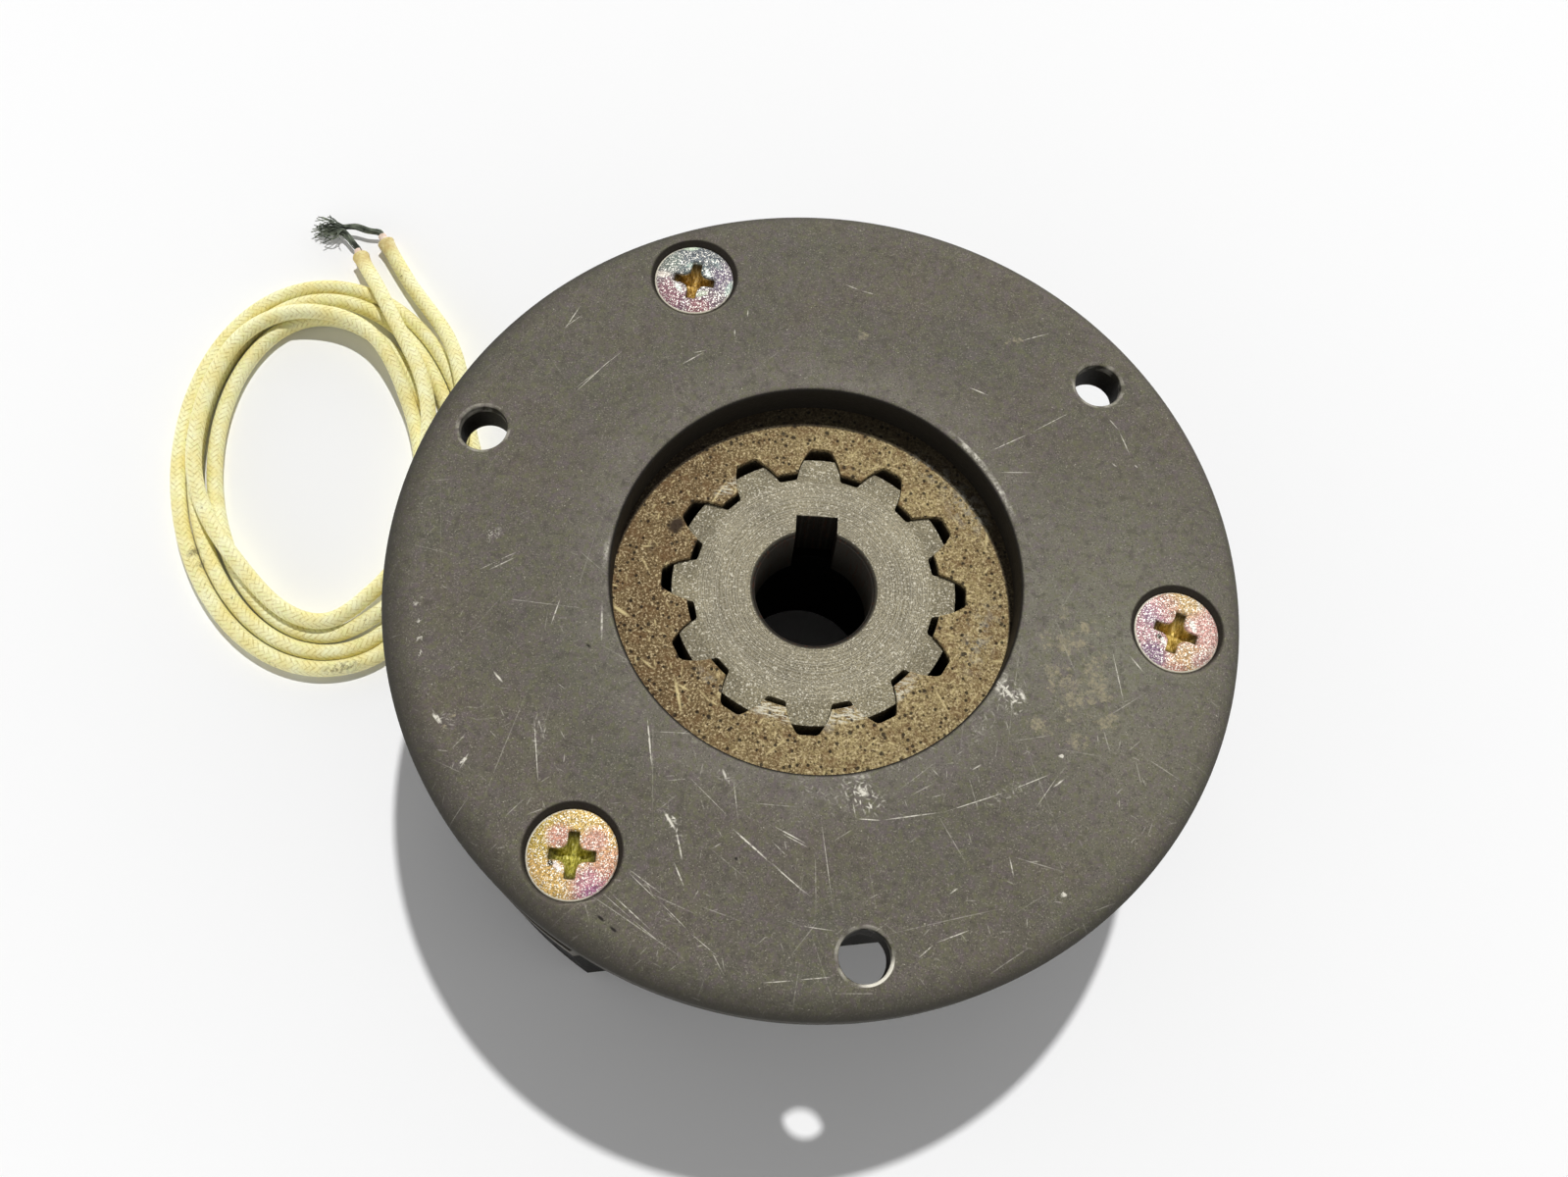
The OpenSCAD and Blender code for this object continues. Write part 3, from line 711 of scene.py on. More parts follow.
def cutAway(piece, cutter):
    applyModifier(piece, "BOOLEAN", object=cutter, operation="DIFFERENCE", solver="EXACT")
    bpy.data.objects.remove(cutter)


def cutFlats(piece):
    # the three flats are cut square to the axis and closed again
    pick(piece)
    for turn in stack["mountTurns"]:
        out = Vector((*onCircle(1, turn), 0))
        startEdit()
        bpy.ops.mesh.bisect(plane_co=out * stack["flat"] * mm, plane_no=out, use_fill=True, clear_outer=True)
        bpy.ops.object.mode_set(mode="OBJECT")


def roundEdges(piece, width, segments=3, angle=32):
    applyModifier(piece, "BEVEL", width=width * mm, segments=segments, limit_method="ANGLE",
                  angle_limit=math.radians(angle), use_clamp_overlap=True, miter_outer="MITER_ARC")


def finishPiece(piece, body, slot, material, *nodes, smooth=34):
    pick(piece)
    bpy.ops.object.shade_smooth_by_angle(angle=math.radians(smooth))
    applyModifier(piece, "WEIGHTED_NORMAL", keep_sharp=True, weight=80)
    dress(piece, body, slot, material, *nodes)


def drillBit(name, radius, low, high, place=(0, 0, 0), sides=48):
    # a plain round cutter
    bit = turnPiece(name, [(radius, low), (radius, high)], sides, closed=False)
    settle(bit, place)
    return bit


# side plate: a turned ring with a rolled outer edge, three countersinks and three mounting holes

plate = {
    "opening": 23.5, "rollWide": 3, "rollHigh": 1.3, "lipWide": 0.8, "lipHigh": 0.42,
    "lowerCut": 0.25, "lowerBend": 0.5,
    "screwHole": 2.75, "sink": 5.5, "mountHole": 2.75, "mountMouth": 0.45,
    "sinkEdge": [(-0.12, -0.12), (0.02, -0.03), (0.2, 0.02), (1, 1)],  # out and up from its sharp corner
    "base": (97, 91, 81), "warm": (103, 95, 83), "olive": (94, 92, 80), "dark": (76, 71, 63),
    "pale": (116, 111, 101), "rim": (52, 50, 45), "greaseAndShade": (22, 19, 15), "sinkShade": (30, 25, 20),
    "scratch": (224, 219, 204), "stain": (152, 143, 118), "flat": (128, 126, 110), "nick": (38, 35, 31),
    "grain": [  # how fine, where it starts, from, to, share, colour
        (420, 0.3, 0.52, 0.62, 0.35, (104, 95, 96)), (380, 0.6, 0.53, 0.63, 0.35, (106, 105, 84)),
        (5200, 0.1, 0.56, 0.68, 0.6, (156, 151, 136)), (5200, 0.4, 0.56, 0.68, 0.65, (56, 53, 47)),
        (1700, 0.7, 0.54, 0.63, 0.42, (108, 95, 99)), (1500, 0.2, 0.55, 0.64, 0.5, (106, 106, 78)),
        (1000, 0.5, 0.55, 0.66, 0.42, (76, 72, 64)), (3200, 0.9, 0.72, 0.75, 0.7, (204, 198, 180)),
    ],
    # size of the cells, width, share of cells with a stroke, strength
    "strokes": [(1.3, 0.085, 0.12, 0.42), (3, 0.085, 0.14, 0.5), (6, 0.08, 0.4, 0.46),
                (14, 0.08, 0.75, 0.48)],
}
plateScratches = [
    (-34.2, 27.6, -108, 2.1, 0.1, 0.5), (-30.1, 20.2, 58, 3.2, 0.1, 0.55),
    (-18.9, 24.7, 43, 1.8, 0.12, 0.45), (-14.5, 29.1, -80, 0.6, 0.15, 0.5),
    (-13.4, 32.2, -85, 0.6, 0.12, 0.5), (-35.2, -5.3, 38, 1.8, 0.12, 0.5),
    (-1.2, 38.3, -15, 1.1, 0.12, 0.35), (0.9, 37.9, -6, 1, 0.12, 0.35), (22, 35.5, 27, 2.1, 0.1, 0.5),
    (15.9, 26.6, -15, 1.4, 0.14, 0.5), (20.2, 20.4, 36, 3, 0.1, 0.5), (25, 24.1, 39, 3, 0.1, 0.45),
    (21.4, 16.6, 10, 2.5, 0.09, 0.4), (32.4, 25.2, -45, 1.1, 0.12, 0.4), (33.9, 22.9, -63, 1.8, 0.12, 0.4),
    (32.9, 19.7, -34, 0.4, 0.15, 0.5), (35.5, 20, -39, 0.3, 0.15, 0.5), (-37.8, -24.2, -38, 0.6, 0.35, 0.8),
    (-32.6, -18.4, -40, 0.9, 0.2, 0.7), (-34, -28.1, 75, 1, 0.15, 0.5), (-26.8, -25.6, -74, 4.1, 0.1, 0.55),
    (-15, -22.8, -74, 3, 0.14, 0.8), (-28.1, -9.9, -96, 1.9, 0.12, 0.5), (-22.8, -10.3, -79, 2.4, 0.2, 0.5),
    (-6.4, -25, -60, 0.8, 0.25, 0.6), (-11.3, -30.8, -48, 1.3, 0.25, 0.8),
    (-9.8, -33.3, -68, 1.6, 0.16, 0.7), (-2.6, -31.8, -32, 2.7, 0.12, 0.65), (2, -34.7, -33, 2.7, 0.1, 0.5),
    (1.5, -30.2, -19, 2, 0.12, 0.6), (-12.6, -37.5, -27, 2.3, 0.1, 0.5), (-13.4, -40.8, -32, 2.9, 0.1, 0.5),
    (8.5, -24.3, -27, 0.9, 0.5, 0.7), (22.9, -10.5, -42, 1.9, 0.3, 0.7), (24.6, -10.6, -62, 1, 0.4, 0.6),
    (7.9, -26.5, -71, 0.9, 0.12, 0.6), (9.6, -27.2, 6, 1.4, 0.12, 0.6), (14, -26.1, 17, 3.2, 0.11, 0.6),
    (20.7, -23.4, 27, 4, 0.1, 0.55), (26.5, -20.2, 31, 2.5, 0.1, 0.5), (29.5, -19.8, 45, 0.9, 0.16, 0.6),
    (25.2, -29.7, -72, 1.2, 0.12, 0.5), (17.2, -39.8, 49, 1.1, 0.12, 0.5), (19.9, -37.8, 29, 2.2, 0.12, 0.5),
    (19.4, -33.2, 45, 0.6, 0.14, 0.5), (20.4, -19.6, 39, 0.7, 0.14, 0.5), (5.8, -32.5, -74, 5.2, 0.09, 0.35),
    (37.1, -4.8, -45, 1.2, 0.12, 0.5), (35.1, -6.7, -74, 3.6, 0.1, 0.45), (-12.8, -38, -34, 2.3, 0.07, 0.5),
    (-9, -40.5, -35, 2.2, 0.07, 0.5), (-5.5, -42.8, -30, 1.9, 0.07, 0.45),
    (-2.1, -32.2, -32, 2.8, 0.08, 0.65), (2.5, -35, -30, 2.7, 0.07, 0.5), (2.1, -30.7, -19, 1.8, 0.08, 0.55),
    (-9.3, -36.2, -57, 1.5, 0.14, 0.6), (-15, -40.4, -31, 2.2, 0.06, 0.4),
    (-11.4, -42.5, -29, 2.1, 0.06, 0.4), (-20.9, -44.5, -25, 2.3, 0.12, 0.55),
    (-34, 27.1, 50, 1.5, 0.07, 0.5), (-30.8, 19.5, 53, 1.9, 0.06, 0.45), (-28.5, 22.6, 53, 1.9, 0.06, 0.45),
    (-18.2, 25.8, 25, 0.9, 0.08, 0.5), (-36.7, -5.8, 38, 1.2, 0.07, 0.4), (-34.8, -4.3, 36, 1.2, 0.07, 0.4),
    (2.6, -45.2, 13, 1.8, 0.09, 0.5), (6.2, -44.3, 14, 1.9, 0.09, 0.5), (5.8, -39.3, 1, 2, 0.08, 0.4),
    (-4.8, -27.4, -74, 2.5, 0.08, 0.4), (-7.7, -27.6, -36, 3.3, 0.07, 0.35),
    (28.2, -21.1, 62, 2.4, 0.08, 0.4),
]
plateSpots = [
    (29.5, -16.8, 0, 0.42, 0.34, 1.2), (30.9, -31.7, 0, 0.5, 0.42, 1.1), (8.5, -24.1, -20, 0.55, 0.3, 0.9),
    (22.6, -10.4, -60, 0.6, 0.24, 0.9), (-38.1, -23.9, -38, 0.8, 0.4, 1.1),
    (-34.1, -28.1, 60, 0.8, 0.3, 0.9), (-43.4, -11.4, 70, 1.2, 0.6, 0.46), (-42.6, -13.6, 75, 1.1, 0.5, 0.5),
    (-42, -15.4, 65, 1.2, 0.6, 0.44), (-41.6, -17.2, 80, 0.9, 0.5, 0.5), (-40.8, -18.8, 30, 0.8, 0.5, 0.42),
    (-37, -1.9, 30, 2, 1.4, 0.42), (-45.8, -15, 0, 0.3, 0.26, 0.6), (-39.5, -20.6, 60, 0.8, 0.4, 0.4),
]
plateScuffs = [
    (23.2, -10.6, -55, 3, 1.7, 2.6), (8.6, -24.7, -24, 3.2, 1.7, 2.6), (-11, -30.9, -52, 2.6, 0.7, 1.6),
    (-6.4, -25.2, -20, 1.6, 0.6, 1.2), (24, -22, 30, 5, 1, 0.6), (-37, -24, -38, 1.6, 0.9, 1.2),
    (-27, -24, -75, 4, 1.2, 0.5), (5, -25.5, -10, 7, 1.4, 0.5), (21, -14, 60, 5, 1.4, 0.5),
]
plateStains = [
    (29.9, -3.5, 30, 2.6, 2, 1.6), (31.4, -1.4, 0, 1.7, 1.3, 1.4), (33, -8.2, 20, 2.4, 3, 1.6),
    (28, -7.9, 0, 2.2, 2.4, 1.4), (34.3, -12, 0, 1.8, 2.2, 1.4), (26.8, -13.8, 0, 2.2, 1.5, 1.2),
    (31, -14.8, 20, 2.4, 1.4, 1.2), (28.5, -0.1, 0, 1.4, 1.1, 1), (1, 31.7, 20, 1.2, 0.9, 1.3),
    (19.5, 34.6, 10, 1.6, 1.1, 1.1), (-37, -24.5, 60, 1.8, 0.6, 1.1), (30.6, -9.8, 0, 3.2, 3.6, 1.2),
    (27.4, -3.8, 0, 1.8, 1.6, 1.1), (32.2, -5.2, 40, 2.2, 1.6, 1.1),
]
plateLipWear = [
    (15.5, 18.6, -52, 5, 1.6, 1.5), (19.8, 13.2, -58, 3.5, 1.4, 1.2), (-23.9, -1.5, 90, 3, 0.8, 0.8),
    (8.3, -23, -20, 3, 1, 1), (-9.6, -22.2, 24, 4, 0.8, 0.7), (21.9, -10.5, 64, 2.6, 1.2, 1.1),
]
plateNicks = [
    (-16.4, -41.9, -29, 0.6, 0.2, 1.8), (-14.9, -42.8, -29, 0.6, 0.2, 1.8),
    (-3.7, -33.6, 0, 0.28, 0.22, 1.5), (-23.7, -13.2, -32, 0.5, 0.25, 1.2),
]


def plateMaterial():
    material = newMaterial("darkPlateSteel")
    top = stack["plate"][1]
    place = objectPlace(material)
    radius, (_, front, _) = radiusOf(place)
    base = lay(plate["base"], place.noise(70, 4, 0.65).ramp((0.36, 0), (0.64, 1)), plate["olive"])
    warmth = objectPlace(material, shift=(0.3, 0, 0)).noise(110, 4, 0.65).ramp((0.44, 0), (0.66, 0.6))
    base = lay(base, warmth, plate["warm"])
    cloud = place.noise(480, 5, 0.75)
    base = lay(base, cloud.ramp((0.5, 0), (0.7, 0.3)), plate["dark"])
    # rubbed paler towards the opening; a painted sheen makes the right a little paler, where the light falls
    # flat
    base = lay(base, radius.between(32, 24.5, smooth=True) * place.grit(300, 0.35, 1, 4), plate["pale"])
    paintedSheen = markField(material, [(35, -4, 0, 17, 28, 0.9)], top, 30) * 0.9
    base = lay(base, paintedSheen.clamped(), plate["flat"])
    # a fine grain of light, dark, yellowish and purplish specks
    for scale, start, low, high, share, colour in plate["grain"]:
        speck = objectPlace(material, shift=(start, 0, 0)).noise(scale, 2, 0.6)
        base = lay(base, speck.ramp((low, 0), (high, share)), colour)
    # stains are small crumbs with sharp edges, close together in the middle
    stained = markField(material, plateStains, top, 2) * 0.16
    stain = (place.noise(1000, 5, 0.72) + stained.calc("MINIMUM", 0.15)).ramp((0.6, 0), (0.67, 1))
    base = lay(base, stain * (stained > 0.02) * place.grit(3000, 0.1, 1), plate["stain"])
    # scratches: short ones at random, denser where the face was scuffed, and the long ones as seen
    short = cellStrokes(material, 0.95, 0.13, 0.9, 0.31) + cellStrokes(material, 0.62, 0.11, 0.9, 0.77)
    total = short * markField(material, plateScuffs, top).calc("MINIMUM", 1.8)
    handled = objectPlace(material, shift=(0.6, 0.2, 0)).noise(55).ramp((0.38, 0.4), (0.58, 1.2))
    handled *= front.between(0.012, -0.016, 0.2, 1, smooth=True)
    for k, (size, wide, share, strength) in enumerate(plate["strokes"]):
        total = cellStrokes(material, size, wide, share, 0.13 + 0.22 * k) * handled * strength + total
    placed = [(*mark[:4], mark[4] * 0.76, mark[5]) for mark in plateScratches]
    total = markField(material, placed, top) * 2.1 + total
    spotted = markField(material, plateSpots, top)
    patches = (spotted + (place.noise(2100, 4, 0.7) * 2.4 - 1.2)).ramp((0.34, 0), (0.46, 1))
    total = (patches * (spotted * 1.5).clamped()).calc("MAXIMUM", total)
    strokes = (total * place.noise(2300, 3, 0.7).ramp((0.36, 0.2), (0.54, 1.25))).clamped()
    base = lay(base, strokes * 0.92, plate["scratch"])
    # the rolled rim and the countersinks are darkened by painted shade, the wall of the opening by old
    # grease and painted shade;
    # the painted shade of the rim reaches further in at the lower left
    rimShadeRadius, _ = radiusOf(objectPlace(material, shift=(-0.0008, -0.0009, 0)))
    rim = rimShadeRadius.band(49.4, 60, 3.6) * 0.62 + radius.band(48.9, 60, 1.2) * 0.3
    base = lay(base, rim, plate["rim"])
    base = lay(base, radius.band(-1, 23.6, 0.3) * 0.96, plate["greaseAndShade"])
    paintedSinkShade = markField(material, [(x, y + 0.25, 0, 8, 8, 1) for x, y in screwPlaces], top, 3)
    base = lay(base, paintedSinkShade.band(0.345, 2, 0.035) * 0.93, plate["sinkShade"])
    # worn bright at the lip in places, and a little at the mouths of the mounting holes, with a painted
    # highlight on one hole's lower right rim
    crumble = place.grit(2600, 0, 1.2, 3)
    rub = (markField(material, plateLipWear, top - 0.3, 3) * crumble).clamped()
    lip = radius.band(24, 24.35, 0.2) * (rub * place.noise(420).ramp((0.42, 0), (0.56, 1)))
    holes = [(x, y, 0, 4, 4, 1) for x, y in mountPlaces]
    # painted shade on the walls of the mounting holes
    base = lay(base, markField(material, holes, top, 90).band(0.305, 2, 0.03) * 0.86, plate["greaseAndShade"])
    nearHole = markField(material, holes, top, 3)
    mouth = nearHole.band(0.22, 0.28, 0.04) * place.noise(600).ramp((0.42, 0), (0.66, 0.35))
    paintedHoleHighlight = nearHole.band(0.24, 0.3, 0.02) * markField(material, [(13.1, -43.1, 45, 3, 1.7, 2.2)], top, 3)
    worn = lip * 0.8 + (mouth + paintedHoleHighlight.clamped())
    base = lay(base, worn.clamped(), plate["scratch"])
    base = lay(base, markField(material, plateNicks, top).clamped(), plate["nick"])
    setShader(material, Base_Color=base, Roughness=cloud * 0.3 + 0.5 - strokes * 0.12,
              Specular_IOR_Level=0.12)
    setBump(crumble * 0.4 + cloud * 0.8 - strokes * 0.4, 0.5, 0.00007)
    return material


def quarterRound(x, z, wide, high, steps):
    # corners of a quarter turn that starts upright at x, below z, and ends level with z
    turns = [math.radians(90 * k / steps) for k in range(steps + 1)]
    return [(x + wide * (1 - math.cos(a)), z - high * (1 - math.sin(a))) for a in turns]


def addPlate():
    low, high = stack["plate"]
    outer, inner = stack["outer"], plate["opening"]
    roll = quarterRound(outer, high, -plate["rollWide"], plate["rollHigh"], 14)
    lip = quarterRound(inner, high, plate["lipWide"], plate["lipHigh"], 14)[::-1]
    cut, bend = plate["lowerCut"], plate["lowerBend"]
    foot = [(inner, low + cut), (inner + cut, low), (outer - bend, low),
            (outer - bend * 0.3, low + bend * 0.3), (outer, low + bend)]
    piece = turnPiece("brake_side_plate", foot + roll + lip)
    hole, sink = plate["screwHole"], plate["sink"]
    edge = [(sink + out, high + up) for out, up in plate["sinkEdge"]]
    sinkShape = [(hole, low - 1), (hole, high - sink + hole), *edge]
    hole, mouth = plate["mountHole"], plate["mountMouth"]
    mountShape = [(hole, low - 1), *quarterRound(hole, high, mouth, mouth, 5),
                  (hole + mouth + 0.02, high + 1)]
    for shape, places in ((sinkShape, screwPlaces), (mountShape, mountPlaces)):
        for x, y in places:
            bit = turnPiece("plateBit", shape, 96, closed=False)
            settle(bit, (x, y, 0))
            cutAway(piece, bit)
    finishPiece(piece, "housing", "plate_steel", plateMaterial(), "side_plate", smooth=25)


addPlate()
print("side plate turned and marked")


# hub and friction rotor: both are turned, then their splines are cut with one cutter, copied round

spline = {
    "teeth": 12, "turn": 96, "pitchRadius": 15, "pressure": 20, "space": 2.8, "flankGap": 0.1,
    "hubTip": 16.7, "hubRoot": 14.2, "rotorTip": 15, "rotorRoot": 18, "rotorOuter": 36, "rotorCorner": 0.35,
    "bore": 7, "boreChamfer": 0.5, "keyWidth": 5, "keyReach": 9.3,
    "rotorChamfer": 0.4, "hubRounding": 0.13, "rotorRounding": 0.16, "hubCorner": 0.3,
    "hubRows": (0, 0.3, 0.8, 1.3, 1.9, 2.5, 3.6),  # where the flanks' curve is taken, outwards
    "rotorRows": (-1.2, 0, 0.6, 1.2, 1.8, 2.4),
}
hubLook = {
    "base": (124, 117, 97), "pale": (148, 140, 115), "dark": (92, 86, 73), "rust": (98, 54, 32),
    "bore": (84, 80, 73), "key": (40, 36, 32), "glint": (222, 216, 198), "chamfer": (66, 62, 54),
}
liningLook = {
    "base": (178, 159, 111), "pale": (228, 208, 164), "dark": (64, 49, 31), "brown": (116, 94, 62),
    "speck": (30, 22, 14), "grey": (172, 170, 160), "fibre": (222, 203, 150), "smudge": (66, 52, 38),
    "shade": (27, 22, 16), "flake": (220, 198, 146), "burnishGlint": (236, 230, 208), "red": (112, 80, 48),
}
liningFibres = [
    (-21.6, -6.9, -24, 1.5, 0.28, 1.6), (-13.3, -15.7, -69, 2.6, 0.25, 1.5),
    (-12.9, -14.7, -20, 1.1, 0.2, 1.2),
]
liningSmudges = [(-17.3, 4.9, 60, 1.5, 1.1, 2.4), (-19.6, 1.5, 80, 0.9, 0.5, 1)]
liningGreys = [
    (16.6, 12.9, -50, 5, 2.6, 1.3), (20, -2.9, 80, 6, 2.4, 1.2), (12, 17.5, -30, 4, 2, 1),
    (-4.5, -16, 14, 3, 1, 1.4), (3.5, -16.3, -12, 3, 1, 1.4), (-10.5, -13, -40, 2, 0.9, 1),
]
burnishGlintMarks = [(0, -16, 0, 13, 3.4, 2), (9.5, -12.5, 40, 6, 3, 2), (-12, 11.5, 46, 3.4, 1.6, 2)]


def halfTooth(radius):
    # half the angle of a hub tooth at this distance from the axis
    baseRadius = spline["pitchRadius"] * math.cos(math.radians(spline["pressure"]))
    width = 2 * math.pi * spline["pitchRadius"] / spline["teeth"] - spline["space"]
    start = width / (2 * spline["pitchRadius"])
    a = math.radians(spline["pressure"])
    start += math.tan(a) - a
    if radius <= baseRadius:
        return start
    a = math.acos(baseRadius / radius)
    return start - (math.tan(a) - a)


def flankCutter(name, radii, halfAngle, low, high):
    # a strip of a grid whose rows are drawn in to the flanks' width, then raised to a block
    bpy.ops.object.select_all(action="DESELECT")
    rows = len(radii) - 1
    bpy.ops.mesh.primitive_grid_add(x_subdivisions=rows, y_subdivisions=1, size=2)
    cutter = bpy.context.object
    cutter.name = name
    for vertex in cutter.data.vertices:
        row = round((vertex.co.x + 1) / 2 * rows)
        side = 1 if vertex.co.y > 0 else -1
        radius, a = radii[row], side * halfAngle(radii[row])
        vertex.co = (radius * math.cos(a) * mm, radius * math.sin(a) * mm, low * mm)
    startEdit()
    bpy.ops.mesh.extrude_region_move(TRANSFORM_OT_translate={"value": (0, 0, (high - low) * mm)})
    endEdit()
    return cutter


def cutTeeth(piece, cutter, firstTurn):
    step = 2 * math.pi / spline["teeth"]
    copies = [copyPiece(cutter, f"tooth{k}", firstTurn + k * step) for k in range(spline["teeth"])]
    bpy.data.objects.remove(cutter)
    cutAway(piece, joinPieces(copies))


def roundCorners(cutter, radius, width):
    # rounds the upright edges of a cutter that lie at this distance from the axis
    pick(cutter)
    bpy.ops.object.mode_set(mode="EDIT")
    bpy.ops.mesh.select_mode(type="EDGE")
    bpy.ops.mesh.select_all(action="DESELECT")
    bpy.ops.object.mode_set(mode="OBJECT")
    points = cutter.data.vertices
    for edge in cutter.data.edges:
        first, second = (points[k].co for k in edge.vertices)
        isUpright = abs(first.z - second.z) > 0.001
        edge.select = isUpright and abs(math.hypot(first.x, first.y) - radius * mm) < 0.0001
    bpy.ops.object.mode_set(mode="EDIT")
    bpy.ops.mesh.bevel(offset=width * mm, segments=4, affect="EDGES")
    bpy.ops.mesh.select_mode(type="VERT")
    bpy.ops.object.mode_set(mode="OBJECT")


def hubMaterial():
    material = newMaterial("machinedHubSteel")
    top = stack["hub"][1]
    place = objectPlace(material)
    radius, (_, _, z) = radiusOf(place)
    rings = radius.rings(5.5, 4, 0.75)
    grain = place.grit(5200, 0, 1, 3)
    base = lay(hubLook["base"], place.noise(210, 3, 0.6).ramp((0.35, 0), (0.68, 1)), hubLook["pale"])
    base = lay(base, rings.ramp((0.4, 0), (0.7, 0.45)), hubLook["dark"])
    base = lay(base, 1, grain * 0.85 + 0.6, "MULTIPLY")
    glint = objectPlace(material, shift=(0.4, 0, 0)).noise(4200, 2, 0.6).ramp((0.58, 0), (0.65, 0.8))
    base = lay(base, glint, hubLook["glint"])
    # turning marks show most between the bore and the root of the teeth
    turning = radius.rings(14, 2, 0.7)
    base = lay(base, turning.ramp((0.52, 0), (0.64, 0.6)) * radius.band(7.4, 11.2, 1.2), hubLook["dark"])
    base = lay(base, turning.ramp((0.36, 0.55), (0.46, 0)) * radius.band(7.6, 13, 1.5), hubLook["glint"])
    # painted shade darkens the bore, and the keyway more, with rust in streaks
    base = lay(base, radius.band(6, 7.5, 0.06) * 0.8, hubLook["chamfer"])
    inner = lay(hubLook["bore"], radius.band(7.06, 60, 0.04), hubLook["key"])
    inside = radius.band(-5, 9.8, 0.1) * z.between((top - 0.08) * mm, (top - 0.3) * mm)
    base = lay(base, inside * 0.94, inner)
    streaks = objectPlace(material, (2600, 2600, 300)).noise(1).ramp((0.54, 0), (0.66, 1))
    base = lay(base, inside * (streaks * 0.4), hubLook["rust"])
    setShader(material, Base_Color=base, Metallic=0.35, Specular_IOR_Level=0.2,
              Roughness=grain * -0.2 + 0.78)
    setBump(grain * 0.6 + rings * 0.5, 0.4, 0.00004)
    return material


def liningMaterial():
    material = newMaterial("frictionLining")
    top = stack["rotor"][1]
    place = objectPlace(material)
    radius, (x, _, _) = radiusOf(place)
    coarse = place.noise(1500, 5, 0.75)
    fine = place.noise(3700, 3, 0.7)
    clots = objectPlace(material, shift=(0.5, 0, 0)).noise(1450, 5, 0.8)
    reddish = objectPlace(material, shift=(0.8, 0, 0)).noise(620, 4, 0.7)
    leftSide = x.between(0.006, -0.02, smooth=True)
    browner = place.noise(110, 3, 0.6).ramp((0.4, 0), (0.7, 0.4)) + leftSide * 0.8
    base = lay(liningLook["brown"], coarse.ramp((0.36, 0), (0.56, 1)), liningLook["base"])
    for colour, share in (
            ("brown", browner.clamped()),
            ("pale", fine.ramp((0.54, 0), (0.63, 0.85))),
            ("dark", fine.ramp((0.36, 0.8), (0.46, 0))),
            ("dark", clots.ramp((0.6, 0), (0.635, 0.85))),
            ("flake", clots.ramp((0.35, 0.8), (0.39, 0))),
            ("red", reddish.ramp((0.5, 0), (0.62, 0.5)))):
        base = lay(base, share, liningLook[colour])
    for size, wide, share, seed in ((2.4, 0.17, 0.1, 0.21), (1.2, 0.15, 0.2, 0.47), (4.2, 0.18, 0.1, 0.73)):
        fibres = cellStrokes(material, size, wide, share, seed) * 1.1
        base = lay(base, fibres.clamped(), liningLook["fibre"])
    isSpeck = 0
    for scale, level, share in ((1500, 0.23, 0.62), (760, 0.14, 0.84)):
        distance, _, (chance, _, _) = place.cells(scale)
        dots = distance.ramp((level, 1), (level + 0.12, 0)) * (chance > share)
        isSpeck = dots.calc("MAXIMUM", isSpeck)
    base = lay(base, isSpeck * 0.85, liningLook["speck"])
    placed = markField(material, liningFibres, top)
    base = lay(base, placed.clamped(), liningLook["fibre"])
    smudge = markField(material, liningSmudges, top) * 0.8
    base = lay(base, smudge.clamped(), liningLook["smudge"])
    # darkest out of the light, under the plate's edge and down in the spline
    litRadius, (_, _, litZ) = radiusOf(objectPlace(material, shift=(0.0002, 0.0024, 0)))
    deep = litZ.between((top - 0.2) * mm, (top - 0.9) * mm)
    shade = (litRadius.band(23.5, 60, 0.25) * 0.86).calc("MAXIMUM", deep * 0.9)
    base = lay(base, shade, liningLook["shade"])
    greys = markField(material, liningGreys, top, 3) * place.noise(1100, 4, 0.7).ramp((0.48, 0), (0.57, 1))
    base = lay(base, greys.clamped() * 0.4, liningLook["grey"])
    # burnished round the teeth, most at the lower side, with a painted glint on the burnish
    drawn = objectPlace(material, (900, 3400, 900)).noise(1, 4, 0.75).ramp((0.48, 0), (0.58, 1))
    burnishGlint = radius.band(14, 16.2, 1) * markField(material, burnishGlintMarks, top, 3) * drawn
    base = lay(base, burnishGlint.clamped() * 0.8, liningLook["burnishGlint"])
    setShader(material, Base_Color=base, Roughness=0.78, Specular_IOR_Level=0.25)
    setBump(coarse + fine * 0.6 - isSpeck * 0.7, 0.8, 0.00018)
    return material


def addHub():
    low, high = stack["hub"]
    tip, bore, cut = spline["hubTip"], spline["bore"], spline["boreChamfer"]
    piece = turnPiece("splined_hub", [(bore, low + cut), (bore + cut, low), (tip, low), (tip, high),
                                      (bore + cut, high), (bore, high - cut)], 192)
    half = math.pi / spline["teeth"]
    root = spline["hubRoot"]
    radii = [root + up for up in spline["hubRows"]]
    cutter = flankCutter("toothSpace", radii, lambda r: half - halfTooth(r), low - 1, high + 1)
    roundCorners(cutter, root, spline["hubCorner"])
    cutTeeth(piece, cutter, math.radians(spline["turn"]) + half)
    bpy.ops.object.select_all(action="DESELECT")
    reach = spline["keyReach"]
    bpy.ops.mesh.primitive_cube_add(size=1, location=(reach / 2 * mm, 0, (low + high) / 2 * mm),
                                    scale=(reach * mm, spline["keyWidth"] * mm, (high - low + 2) * mm))
    key = bpy.context.object
    keepPlace()
    settle(key, turn=math.radians(spline["turn"]))
    cutAway(piece, key)
    roundEdges(piece, spline["hubRounding"], 2, 30)
    finishPiece(piece, "hub", "hub_steel", hubMaterial(), "rotor_hub")


